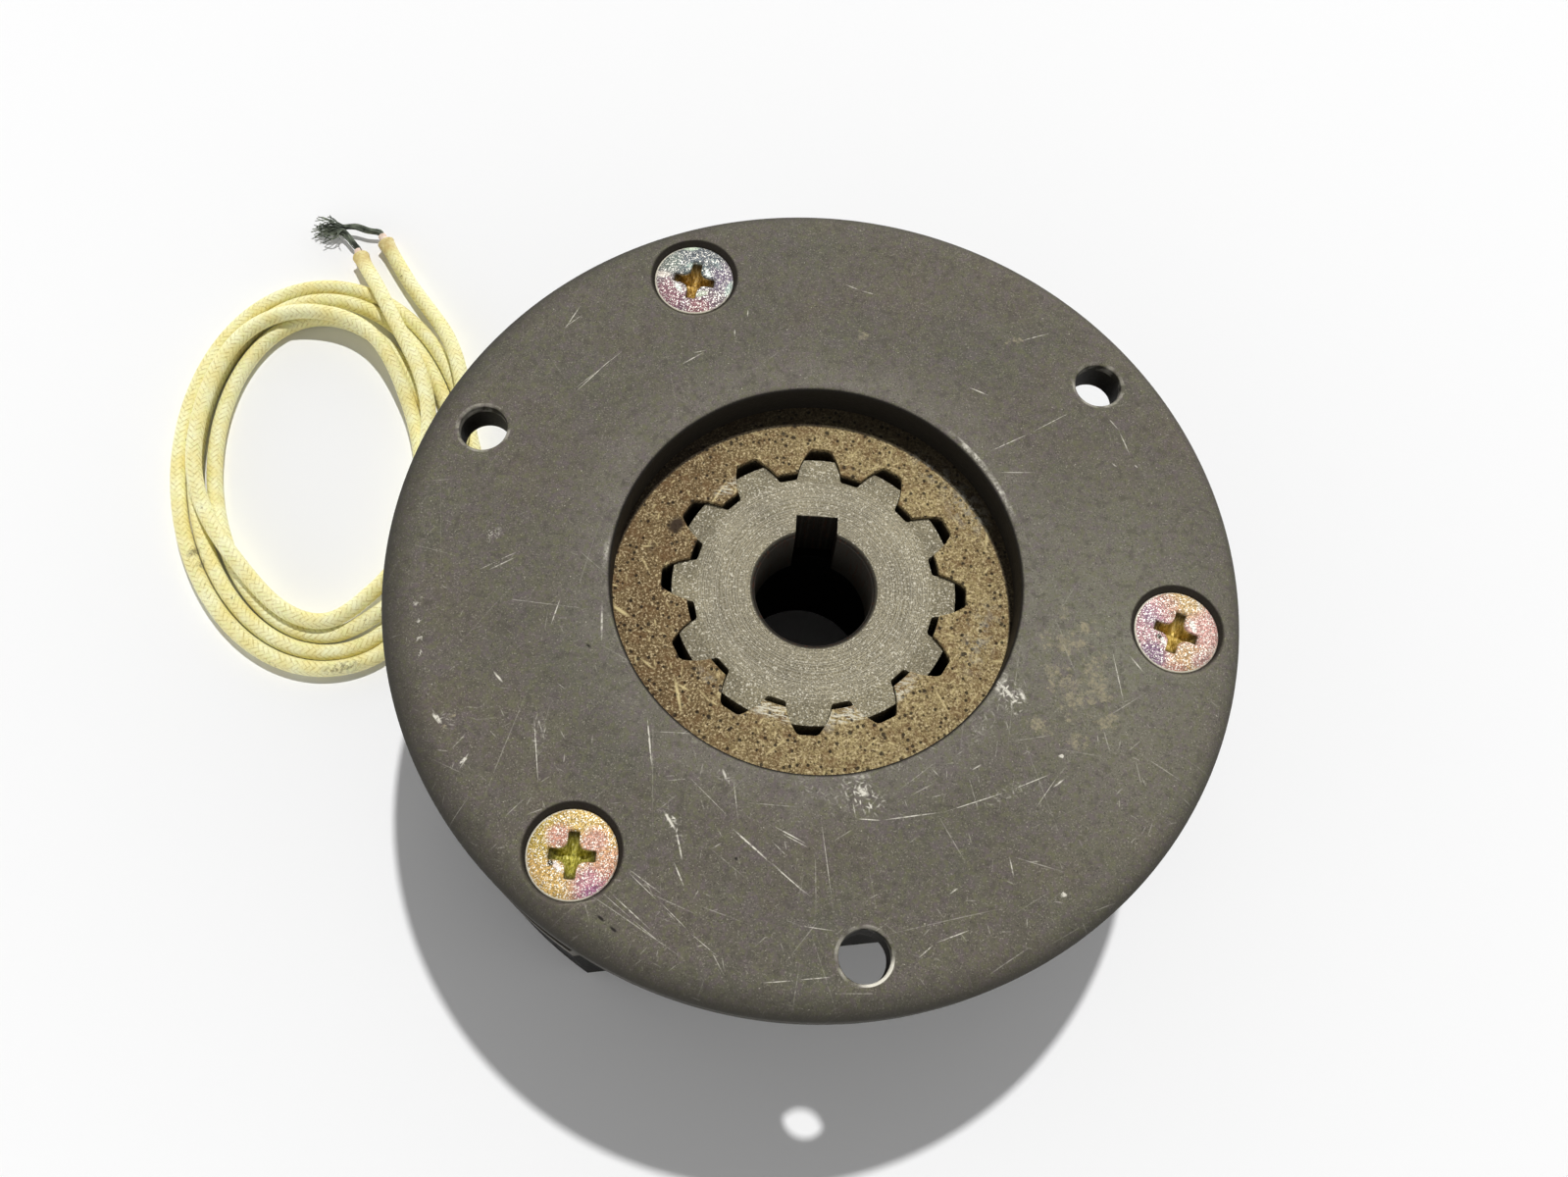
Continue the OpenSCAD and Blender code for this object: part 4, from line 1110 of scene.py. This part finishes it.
def addRotor():
    low, high = stack["rotor"]
    tip, root, outer = spline["rotorTip"], spline["rotorRoot"], spline["rotorOuter"]
    cut = spline["rotorChamfer"]
    piece = turnPiece("lined_rotor", [(tip, low), (outer - cut, low), (outer, low + cut),
                                      (outer, high - cut), (outer - cut, high), (tip, high)])
    gap = spline["flankGap"]
    radii = [tip + up for up in spline["rotorRows"]] + [root]
    cutter = flankCutter("toothRoom", radii, lambda r: halfTooth(r) + gap / r, low - 1, high + 1)
    roundCorners(cutter, root, spline["rotorCorner"])
    cutTeeth(piece, cutter, math.radians(spline["turn"]))
    roundEdges(piece, spline["rotorRounding"], 2, 30)
    finishPiece(piece, "rotor", "friction_lining", liningMaterial(), "friction_rotor")


addHub()
addRotor()
print("hub and rotor splined")


# screws: countersunk heads with a cross recess, plated in shifting colours

screw = {
    "head": 4.85, "top": 35.75, "rim": 0.2, "shank": 2.5, "length": 25,
    "armWide": 1.3, "armReach": 2.75, "web": 0.98, "tip": 0.22, "thread": 0.8, "rounding": 0.14,
    "endCut": 0.5, "edge": [(0, 0.12), (0.04, 0.05), (0.14, 0), (1.2, 0)],  # inwards and down
    "recessSteps": [(0.6, 1), (0.12, 0.95), (0.5, 0.9), (0.6, 0.8), (0.5, 0.6), (0.18, 0.6)],  # drop, taper
    "glint": (255, 252, 240), "rimHighlight": (236, 230, 210), "recessShade": (34, 26, 8),
    "blotch": (111.3, 84.6, 89),
}
screwFinishes = [
    # a tint is (x, y, size, strength, colour) in radii of the head; a long one's size is
    # (half length, half width, degrees); the near-white tints are painted highlights
    {"turn": 77.5, "base": (206, 166, 156), "recess": (226, 196, 100), "arm": (140, 116, 34), "spark": 0.9,
     "tints": [
        (0.1, 0.85, 0.8, 0.85, (204, 176, 116)), (0.35, -0.65, 0.72, 0.85, (200, 166, 116)),
        (-0.75, 0.15, 0.85, 0.85, (182, 142, 150)), (-0.6, 0.35, 0.36, 0.6, (148, 130, 154)),
        (-0.55, -0.65, 0.52, 0.85, (136, 112, 138)), (0.75, 0.15, 0.7, 0.75, (214, 166, 156)),
        (-0.3, 0.6, 0.5, 0.6, (194, 146, 146)), (0.1, -0.95, 0.32, 0.6, (190, 128, 124)),
        (0.62, -0.6, 0.34, 0.6, (176, 136, 148)), (0.38, 0.22, (0.24, 0.09, 115), 1, (250, 246, 236)),
        (-0.3, -0.27, (0.2, 0.08, 125), 1, (244, 240, 230)), (-0.4, -0.17, 0.11, 1, (56, 46, 34)),
        (0.9, -0.3, (0.2, 0.1, 70), 0.6, (196, 172, 160)),
        (0.5, 0.78, (0.3, 0.05, 110), 0.8, (238, 226, 206))]},
    {"turn": 89, "base": (140, 130, 132), "recess": (218, 180, 88), "arm": (116, 84, 22), "spark": 0.8,
     "tints": [
        (0, 0.75, 1.1, 0.9, (108, 116, 120)), (-0.75, 0.45, 0.55, 0.7, (126, 138, 126)),
        (0.7, 0.2, 0.6, 0.8, (126, 114, 132)), (0.1, -0.8, 0.9, 0.9, (124, 92, 104)),
        (-0.6, -0.5, 0.62, 0.85, (146, 104, 112)), (0.25, -0.8, 0.4, 0.7, (160, 114, 114)),
        (0.05, 0.1, 0.62, 0.6, (92, 108, 104)), (-0.86, 0.02, (0.34, 0.13, 8), 0.95, (222, 212, 200)),
        (-0.25, 0.94, (0.3, 0.12, 14), 0.95, (222, 240, 214)),
        (0.93, -0.1, (0.34, 0.13, 84), 0.85, (196, 212, 202)),
        (-0.36, -0.28, (0.24, 0.1, 130), 1, (236, 242, 232)),
        (0.31, 0.27, (0.2, 0.08, 118), 1, (240, 248, 240)),
        (0.24, -0.38, (0.26, 0.12, 30), 0.8, (192, 204, 178)),
        (-0.12, 0.44, (0.3, 0.1, 20), 0.7, (176, 196, 184)),
        (0.5, 0.55, (0.3, 0.12, -40), 0.5, (150, 166, 160))]},
    {"turn": 5.3, "base": (208, 172, 104), "recess": (214, 206, 92), "arm": (116, 112, 34), "spark": 0.9,
     "tints": [
        (-0.65, 0.35, 0.8, 0.85, (192, 168, 86)), (0.1, 0.85, 0.6, 0.7, (222, 194, 124)),
        (0.55, -0.65, 0.75, 0.9, (194, 138, 152)), (0.85, -0.05, 0.5, 0.75, (218, 166, 140)),
        (-0.35, 0.36, 0.4, 0.85, (204, 148, 136)), (0.42, 0.36, 0.44, 0.8, (214, 162, 150)),
        (0.62, -0.75, 0.3, 0.7, (166, 108, 148)), (-0.2, -0.8, 0.6, 0.6, (212, 178, 108)),
        (-0.27, -0.29, (0.22, 0.09, -42), 1, (244, 228, 220)), (-0.42, -0.24, 0.11, 1, (58, 48, 34)),
        (0.9, -0.3, (0.16, 0.08, 70), 0.7, (176, 100, 86))]},
]


def tintField(local, base, tints, wobble):
    # patches of colour laid over one another, their edges wandering; the near-white ones are painted
    # highlights
    for x, y, size, strength, colour in tints:
        half, width, turn = size if isinstance(size, tuple) else (size, size, 0)
        glow = local.spot((x, y, 0), turn, (half, width, 0.4)) + wobble
        base = lay(base, glow.ramp((0.12, 0), (0.55, strength)), colour)
    return base


def screwMaterial(number, finish):
    # drawn in radii of the head, from the middle of its face
    material = newMaterial(f"chromatePlating{number + 1}")
    middle = (*screwPlaces[number], screw["top"])
    local = objectPlace(material).moved([v * mm for v in middle], 0, (screw["head"] * mm,) * 3, "TEXTURE")
    x, y, z = local.split()
    wobble = local.noise(3.4, 5, 0.7, 0.4) * 0.7 - 0.35
    base = tintField(local, finish["base"], finish["tints"], wobble)
    blotch = local.noise(11, 4, 0.75)
    base = lay(base, blotch.ramp((0.3, 0.5), (0.45, 0)), screw["blotch"])
    _, _, (first, second, third) = local.cells(36)
    shade = (second * 0.8 + 0.46) * (local.noise(21, 3, 0.7) * 1.7 + 0.16)
    base = lay(base, 1, shade, "MULTIPLY")
    _, _, (tiny, _, _) = local.cells(62)
    glint = (first > 0.915).calc("MAXIMUM", tiny > 0.9)
    base = lay(base, glint * finish["spark"], screw["glint"])
    reach = (x ** 2 + y ** 2).calc("SQRT")
    # a painted highlight along the head's rim, strongest at the lower left
    rimHighlightShare = (local.noise(6, 4, 0.7) + ((x + y) * -0.22 + 0.3)).ramp((0.6, 0.05), (0.85, 0.95))
    base = lay(base, reach.band(0.972, 1.2, 0.02) * rimHighlightShare, screw["rimHighlight"])
    # the recess shows the plating's gold side, bright in the middle, with painted glints, and darkened by
    # painted shade at the ends of the arms
    flecks = local.moved(scale=(26, 7, 7)).noise(1, 4, 0.75)
    gold = lay(finish["arm"], flecks.ramp((0.4, 0), (0.58, 1)), finish["recess"])
    gold = lay(gold, flecks.ramp((0.58, 0), (0.66, 0.7)), screw["glint"])
    gold = lay(gold, reach.ramp((0.3, 0), (0.5, 0.9)), screw["recessShade"])
    inRecess = z.between(-0.035, -0.085) * reach.band(-1, 0.56, 0.03)
    base = lay(base, inRecess * 0.95, gold)
    # rolled thread on the shank, below the head
    climb = z * (screw["head"] / screw["thread"])
    thread = (climb - y.calc("ARCTAN2", x) / (2 * math.pi)).calc("PINGPONG", 0.5)
    threads = thread * (z.between(-0.6, -0.66) * 9)
    setShader(material, Base_Color=base, Metallic=0.4, Specular_IOR_Level=0.2,
              Roughness=third * 0.22 + 0.56 - glint * 0.14)
    setBump(second * 0.1 + blotch * 0.35 + threads, 0.55, 0.00006)
    return material


def recessBit():
    # a cross drawn from one square, its corners rounded, then drawn down to a blunt point
    bpy.ops.object.select_all(action="DESELECT")
    wide, reach = screw["armWide"], screw["armReach"]
    half = wide / 2 * mm
    bpy.ops.mesh.primitive_plane_add(size=wide * mm, location=(0, 0, (screw["top"] + 0.6) * mm))
    bit = bpy.context.object
    keepPlace()
    for out in ((1, 0), (0, 1), (-1, 0), (0, -1)):
        for face in bit.data.polygons:
            face.select = False
        for vertex in bit.data.vertices:
            forward = vertex.co.x * out[0] + vertex.co.y * out[1]
            sideways = abs(vertex.co.x * out[1] - vertex.co.y * out[0])
            vertex.select = abs(forward - half) < 1e-6 and sideways < half + 1e-6
        for edge in bit.data.edges:
            edge.select = all(bit.data.vertices[k].select for k in edge.vertices)
        bpy.ops.object.mode_set(mode="EDIT")
        bpy.ops.mesh.select_mode(type="EDGE")
        bpy.ops.mesh.extrude_edges_move(TRANSFORM_OT_translate={
            "value": (out[0] * (reach * mm - half), out[1] * (reach * mm - half), 0)})
        bpy.ops.mesh.select_all(action="DESELECT")
        bpy.ops.object.mode_set(mode="OBJECT")
    startEdit()
    bpy.ops.mesh.remove_doubles(threshold=1e-6)
    bpy.ops.mesh.dissolve_limited(angle_limit=0.01)
    for isInner, offset in ((True, screw["web"]), (False, screw["tip"])):
        bpy.ops.mesh.select_all(action="DESELECT")
        bpy.ops.mesh.select_mode(type="VERT")
        bpy.ops.object.mode_set(mode="OBJECT")
        for vertex in bit.data.vertices:
            spread = max(abs(vertex.co.x), abs(vertex.co.y))
            vertex.select = spread < half * 1.01 if isInner else spread > reach * 0.99 * mm
        bpy.ops.object.mode_set(mode="EDIT")
        bpy.ops.mesh.bevel(offset=offset * mm, segments=5, affect="VERTICES")
    bpy.ops.mesh.select_all(action="SELECT")
    for drop, share in screw["recessSteps"]:
        bpy.ops.mesh.extrude_region_move(TRANSFORM_OT_translate={"value": (0, 0, -drop * mm)})
        scaleAcross(share)
    endEdit()
    return bit


def addScrews():
    top, head, shank = screw["top"], screw["head"], screw["shank"]
    foot, seat, cone, cut = top - screw["length"], top - screw["rim"], head - shank, screw["endCut"]
    edge = [(head - inward, top - down) for inward, down in screw["edge"]]
    blank = turnPiece("screwBlank", [
        (shank - cut, foot), (shank, foot + cut), (shank, seat - cone - 0.15),
        (shank + 0.12, seat - cone + 0.1), (head - 0.05, seat - 0.05), (head, seat), *edge],
        96, closed=False)
    cutAway(blank, recessBit())
    roundEdges(blank, screw["rounding"], angle=40)
    for number, ((x, y), finish) in enumerate(zip(screwPlaces, screwFinishes)):
        piece = copyPiece(blank, f"countersunk_screw_{number + 1}", math.radians(finish["turn"]), (x, y, 0))
        finishPiece(piece, "housing", "chromated_screw", screwMaterial(number, finish),
                    f"plate_screw_{number + 1}", smooth=38)
    bpy.data.objects.remove(blank)


addScrews()
print("screws cut and plated")


# collars: short tubes that hold the plate off the stator

collar = {
    "outer": 4, "inner": 2.65, "rounding": 0.25,
    "base": (150, 146, 134), "pale": (188, 184, 170), "stain": (104, 92, 70),
}


def collarMaterial():
    material = newMaterial("turnedCollarSteel")
    rings = objectPlace(material, (60, 60, 4200)).noise(1, 3, 0.7)
    patches = objectPlace(material).noise(380, 3, 0.6)
    base = lay(collar["base"], rings, collar["pale"])
    base = lay(base, patches.ramp((0.5, 0), (0.7, 0.6)), collar["stain"])
    setShader(material, Base_Color=base, Metallic=0.7, Roughness=patches * 0.3 + 0.3)
    setBump(rings, 0.3, 0.00003)
    return material


def addCollars():
    low, high = stack["stator"], stack["plate"][0]
    inner, outer = collar["inner"], collar["outer"]
    first = turnPiece("collarBlank", [(inner, low), (outer, low), (outer, high), (inner, high)], 96)
    roundEdges(first, collar["rounding"])
    finish = collarMaterial()
    for number, (x, y) in enumerate(screwPlaces):
        piece = copyPiece(first, f"spacing_collar_{number + 1}", 0, (x, y, 0))
        finishPiece(piece, "housing", "collar_steel", finish, f"collar_{number + 1}")
    bpy.data.objects.remove(first)


addCollars()
print("collars in place")


# stator and armature: turned steel with three flats, dusty; the stator's colour is made far darker than the
# plate's as painted shade

stator = {
    "shaftHole": 8.5, "slotIn": 25.3, "slotOut": 34.5, "slotFloor": 7.3, "pocket": 2.6, "pocketFloor": 8.8,
    "tap": 2.53, "tapFloor": 9.25, "leadHole": 3.2, "rounding": 0.4,
    "base": (21, 20, 18), "olive": (25, 24, 21), "bare": (112, 107, 97), "rust": (60, 44, 33),
    "dust": (44, 42, 38),
}
armature = {
    "hole": 18.5, "collarHole": 4.3, "rounding": 0.25,
    "base": (92, 88, 80), "pale": (132, 126, 114), "dark": (62, 58, 52),
}


def shadeDarkenedSteelMaterial():
    material = newMaterial("shadeDarkenedStatorSteel")
    place = objectPlace(material)
    radius, (_, _, z) = radiusOf(place)
    # painted shade: the stator's base colours are far darker than the plate's steel
    base = lay(stator["base"], place.noise(85, 4, 0.6).ramp((0.38, 0), (0.64, 1)), stator["olive"])
    turning = objectPlace(material, (40, 40, 5200)).noise(1, 3, 0.75)
    base = lay(base, 1, turning * 0.5 + 0.72, "MULTIPLY")
    base = lay(base, place.noise(520, 5, 0.75).ramp((0.55, 0), (0.75, 0.5)), stator["dust"])
    rust = objectPlace(material, shift=(0.2, 0.1, 0)).noise(150, 5, 0.7).ramp((0.62, 0), (0.72, 0.55))
    base = lay(base, rust, stator["rust"])
    # edges rubbed bare: the rim above and below, and the sharp corners of the flats
    height = z * 1000
    edges = (height.band(-1, 0.15, 0.35) + height.band(20.1, 21, 0.3)) * radius.band(36, 60, 1)
    worn = edges * place.noise(700, 4, 0.7).ramp((0.42, 0), (0.6, 1))
    # hairlines in one rough direction, thinned out by a coarser noise
    hairs = objectPlace(material, (60, 3600, 60), 12, (5, 10, 0)).noise(1, 2, 0.6).ramp((0.69, 0), (0.74, 1))
    hairs *= objectPlace(material, shift=(5, 0, 0)).noise(90, 2).ramp((0.45, 0), (0.62, 1))
    bare = worn * 0.6 + hairs * 0.35
    base = lay(base, bare.clamped(), stator["bare"])
    grain = place.noise(3000, 3, 0.7)
    setShader(material, Base_Color=base, Roughness=grain * 0.3 + 0.45, Specular_IOR_Level=0.06)
    setBump(turning * 0.7 + grain * 0.4, 0.4, 0.00006)
    return material


def armatureMaterial():
    material = newMaterial("groundArmatureSteel")
    low, high = stack["armature"]
    place = objectPlace(material)
    radius, (_, _, z) = radiusOf(place)
    rings = radius.rings(3.5, 4, 0.75)
    patches = place.noise(190, 4, 0.65)
    base = lay(armature["base"], patches.ramp((0.36, 0), (0.66, 1)), armature["dark"])
    # the turned rings show on the two faces alone
    faced = abs(z * 1000 - (low + high) / 2) > (high - low) / 2 - 0.05
    base = lay(base, rings.ramp((0.45, 0), (0.75, 0.6)) * faced, armature["pale"])
    base = lay(base, place.noise(1300, 4, 0.7).ramp((0.56, 0), (0.7, 0.5)), liningLook["dark"])
    setShader(material, Base_Color=base, Metallic=0.35, Roughness=patches * 0.3 + 0.42)
    setBump(rings * faced, 0.3, 0.00004)
    return material


def drillAt(piece, places, radius, low, high, sides=48):
    for x, y in places:
        cutAway(piece, drillBit("steelBit", radius, low, high, (x, y, 0), sides))


def layAlongLeads(piece):
    # from upright on the axis to the lead hole's place and direction
    pick(piece)
    piece.rotation_euler = (0, math.pi / 2, math.radians(lead["angle"]))
    x, y = onCircle(-lead["along"], lead["angle"] + 90)
    piece.location = (x * mm, y * mm, lead["height"] * mm)
    keepPlace()


def addStator():
    high, outer, shaft = stack["stator"], stack["outer"], stator["shaftHole"]
    slotIn, slotOut, slotFloor = stator["slotIn"], stator["slotOut"], stator["slotFloor"]
    piece = turnPiece("stator_body", [
        (shaft, 0), (outer, 0), (outer, high), (slotOut, high), (slotOut, slotFloor), (slotIn, slotFloor),
        (slotIn, high), (shaft, high)])
    cutFlats(piece)
    drillAt(piece, springPlaces, stator["pocket"], stator["pocketFloor"], high + 1)
    drillAt(piece, screwPlaces, stator["tap"], stator["tapFloor"], high + 1)
    bit = drillBit("leadBit", stator["leadHole"], slotOut - 1, stack["flat"] + 2)
    layAlongLeads(bit)
    cutAway(piece, bit)
    roundEdges(piece, stator["rounding"])
    finishPiece(piece, "housing", "stator_steel", shadeDarkenedSteelMaterial(), "stator_yoke")


def addArmature():
    low, high = stack["armature"]
    outer, hole = stack["outer"], armature["hole"]
    piece = turnPiece("armature_disc", [(hole, low), (outer, low), (outer, high), (hole, high)])
    cutFlats(piece)
    drillAt(piece, screwPlaces, armature["collarHole"], low - 1, high + 1, 64)
    roundEdges(piece, armature["rounding"])
    finishPiece(piece, "armature", "armature_steel", armatureMaterial(), "armature")


addStator()
addArmature()
print("stator and armature turned")


# coil: bobbin, winding and potting keep their CAD shapes

coil = {
    "plastic": (222, 214, 192), "shade": (196, 186, 160), "wire": (168, 92, 48), "wireDark": (96, 44, 22),
    "wirePitch": 0.42, "resin": (42, 39, 36), "resinPale": (66, 61, 55),
}


def bobbinMaterial():
    material = newMaterial("creamBobbin")
    place = objectPlace(material)
    flow = place.noise(160)
    setShader(material, Base_Color=lay(coil["plastic"], flow, coil["shade"]), Roughness=flow * 0.2 + 0.38)
    setBump(place.noise(2600, 2), 0.2, 0.00004)
    return material


def windingMaterial():
    material = newMaterial("enamelledWinding")
    place = objectPlace(material)
    radius, (_, _, z) = radiusOf(place)
    turnsUp, turnsOut = (abs((value / coil["wirePitch"] * math.pi).calc("SINE"))
                         for value in (z * 1000, radius))
    wireShade = turnsUp * turnsOut
    base = lay(coil["wireDark"], wireShade, coil["wire"])
    base = lay(base, place.noise(240) * 0.35, coil["wireDark"])
    setShader(material, Base_Color=base, Metallic=0.7, Roughness=0.32, Coat_Weight=0.6)
    setBump(wireShade, 1, 0.00015)
    return material


def pottingMaterial():
    material = newMaterial("pottingResin")
    place = objectPlace(material)
    flow = place.noise(130, 4)
    pits = place.cells(420)[0].ramp((0.08, 0), (0.16, 1))
    setShader(material, Base_Color=lay(coil["resin"], flow, coil["resinPale"]), Roughness=flow * 0.25 + 0.22)
    setBump(pits + flow, 0.35, 0.0002)
    return material


for nodeName, finish in (("coil_bobbin", bobbinMaterial()), ("coil_winding", windingMaterial()),
                         ("coil_potting", pottingMaterial())):
    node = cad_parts[nodeName]
    node.data.materials.clear()
    node.data.materials.append(finish)
print("coil finished")


# torque springs: round wire wound with closed ends

spring = {
    "coil": 1.9, "wire": 0.8, "turns": 6.5, "foot": 8.8, "length": 11.7, "steps": 28, "squeeze": 0.983,
    "base": (128, 130, 132), "dark": (78, 78, 78),
}


def springHeight(turns):
    # how high the wire's middle has climbed after so many turns; the first and last turn lie closed
    closed = spring["wire"] * 1.05
    middle = spring["turns"] - 2
    pitch = (spring["length"] - spring["wire"] - 2 * closed) / middle
    atEnds = min(turns, 1) + max(turns - spring["turns"] + 1, 0)
    return closed * atEnds + pitch * min(max(turns - 1, 0), middle)


def springMaterial():
    material = newMaterial("springWire")
    drawn = objectPlace(material).noise(900, 4, 0.7)
    setShader(material, Base_Color=lay(spring["base"], drawn, spring["dark"]), Metallic=0.85,
              Roughness=drawn * 0.35 + 0.2)
    setBump(drawn, 0.2, 0.00003)
    return material


def addSprings():
    finish = springMaterial()
    steps = spring["steps"]  # corners in each turn
    count = int(steps * spring["turns"]) + 1
    for number, (x, y) in enumerate(springPlaces):
        line = []
        for k in range(count):
            dx, dy = onCircle(spring["coil"], 60 * number + 360 * k / steps)
            line.append((x + dx, y + dy, spring["foot"] + spring["wire"] / 2 + springHeight(k / steps)))
        piece = sweep(f"torque_coil_{number + 1}", line, np.full(count, spring["wire"] / 2), 12)
        dress(piece, "housing", "spring_steel", finish, f"torque_spring_{number + 1}")
        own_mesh(piece)


addSprings()
print("springs wound")


# grommet: a rubber plug with a rounded flange, and a hole for each lead

grommet = {
    "stem": 3.2, "flange": 4.4, "thick": 1.2, "hole": 1.15, "stemCut": 0.3,
    "edge": [(0, 0.45), (0.14, 0.14), (0.45, 0)],  # inwards and down from the flange's sharp corner
    "base": (36, 34, 31), "pale": (62, 59, 53),
}


def grommetMaterial():
    material = newMaterial("blackGrommet")
    bloom = objectPlace(material).noise(700, 4, 0.7)
    base = lay(grommet["base"], bloom.ramp((0.4, 0), (0.7, 1)), grommet["pale"])
    setShader(material, Base_Color=base, Roughness=0.68)
    setBump(bloom, 0.3, 0.00008)
    return material


def addGrommet():
    start, wall = lead["radii"][0], stack["flat"]
    stem, flange, end = grommet["stem"], grommet["flange"], wall + grommet["thick"]
    cut, edge = grommet["stemCut"], [(flange - inward, end - down) for inward, down in grommet["edge"]]
    piece = turnPiece("lead_plug", [
        (stem - cut, start), (stem, start + cut), (stem, wall), (flange - 0.2, wall), (flange, wall + 0.2),
        *edge, (stem - 0.1, end), (stem - 0.4, end - 0.12)], 96, closed=False)
    leadPlaces = [(0, side * lead["apart"] / 2) for side in (-1, 1)]
    drillAt(piece, leadPlaces, grommet["hole"], start - 1, end + 1)
    layAlongLeads(piece)
    finishPiece(piece, "housing", "grommet_rubber", grommetMaterial(), "lead_grommet")


addGrommet()
print("grommet fitted")
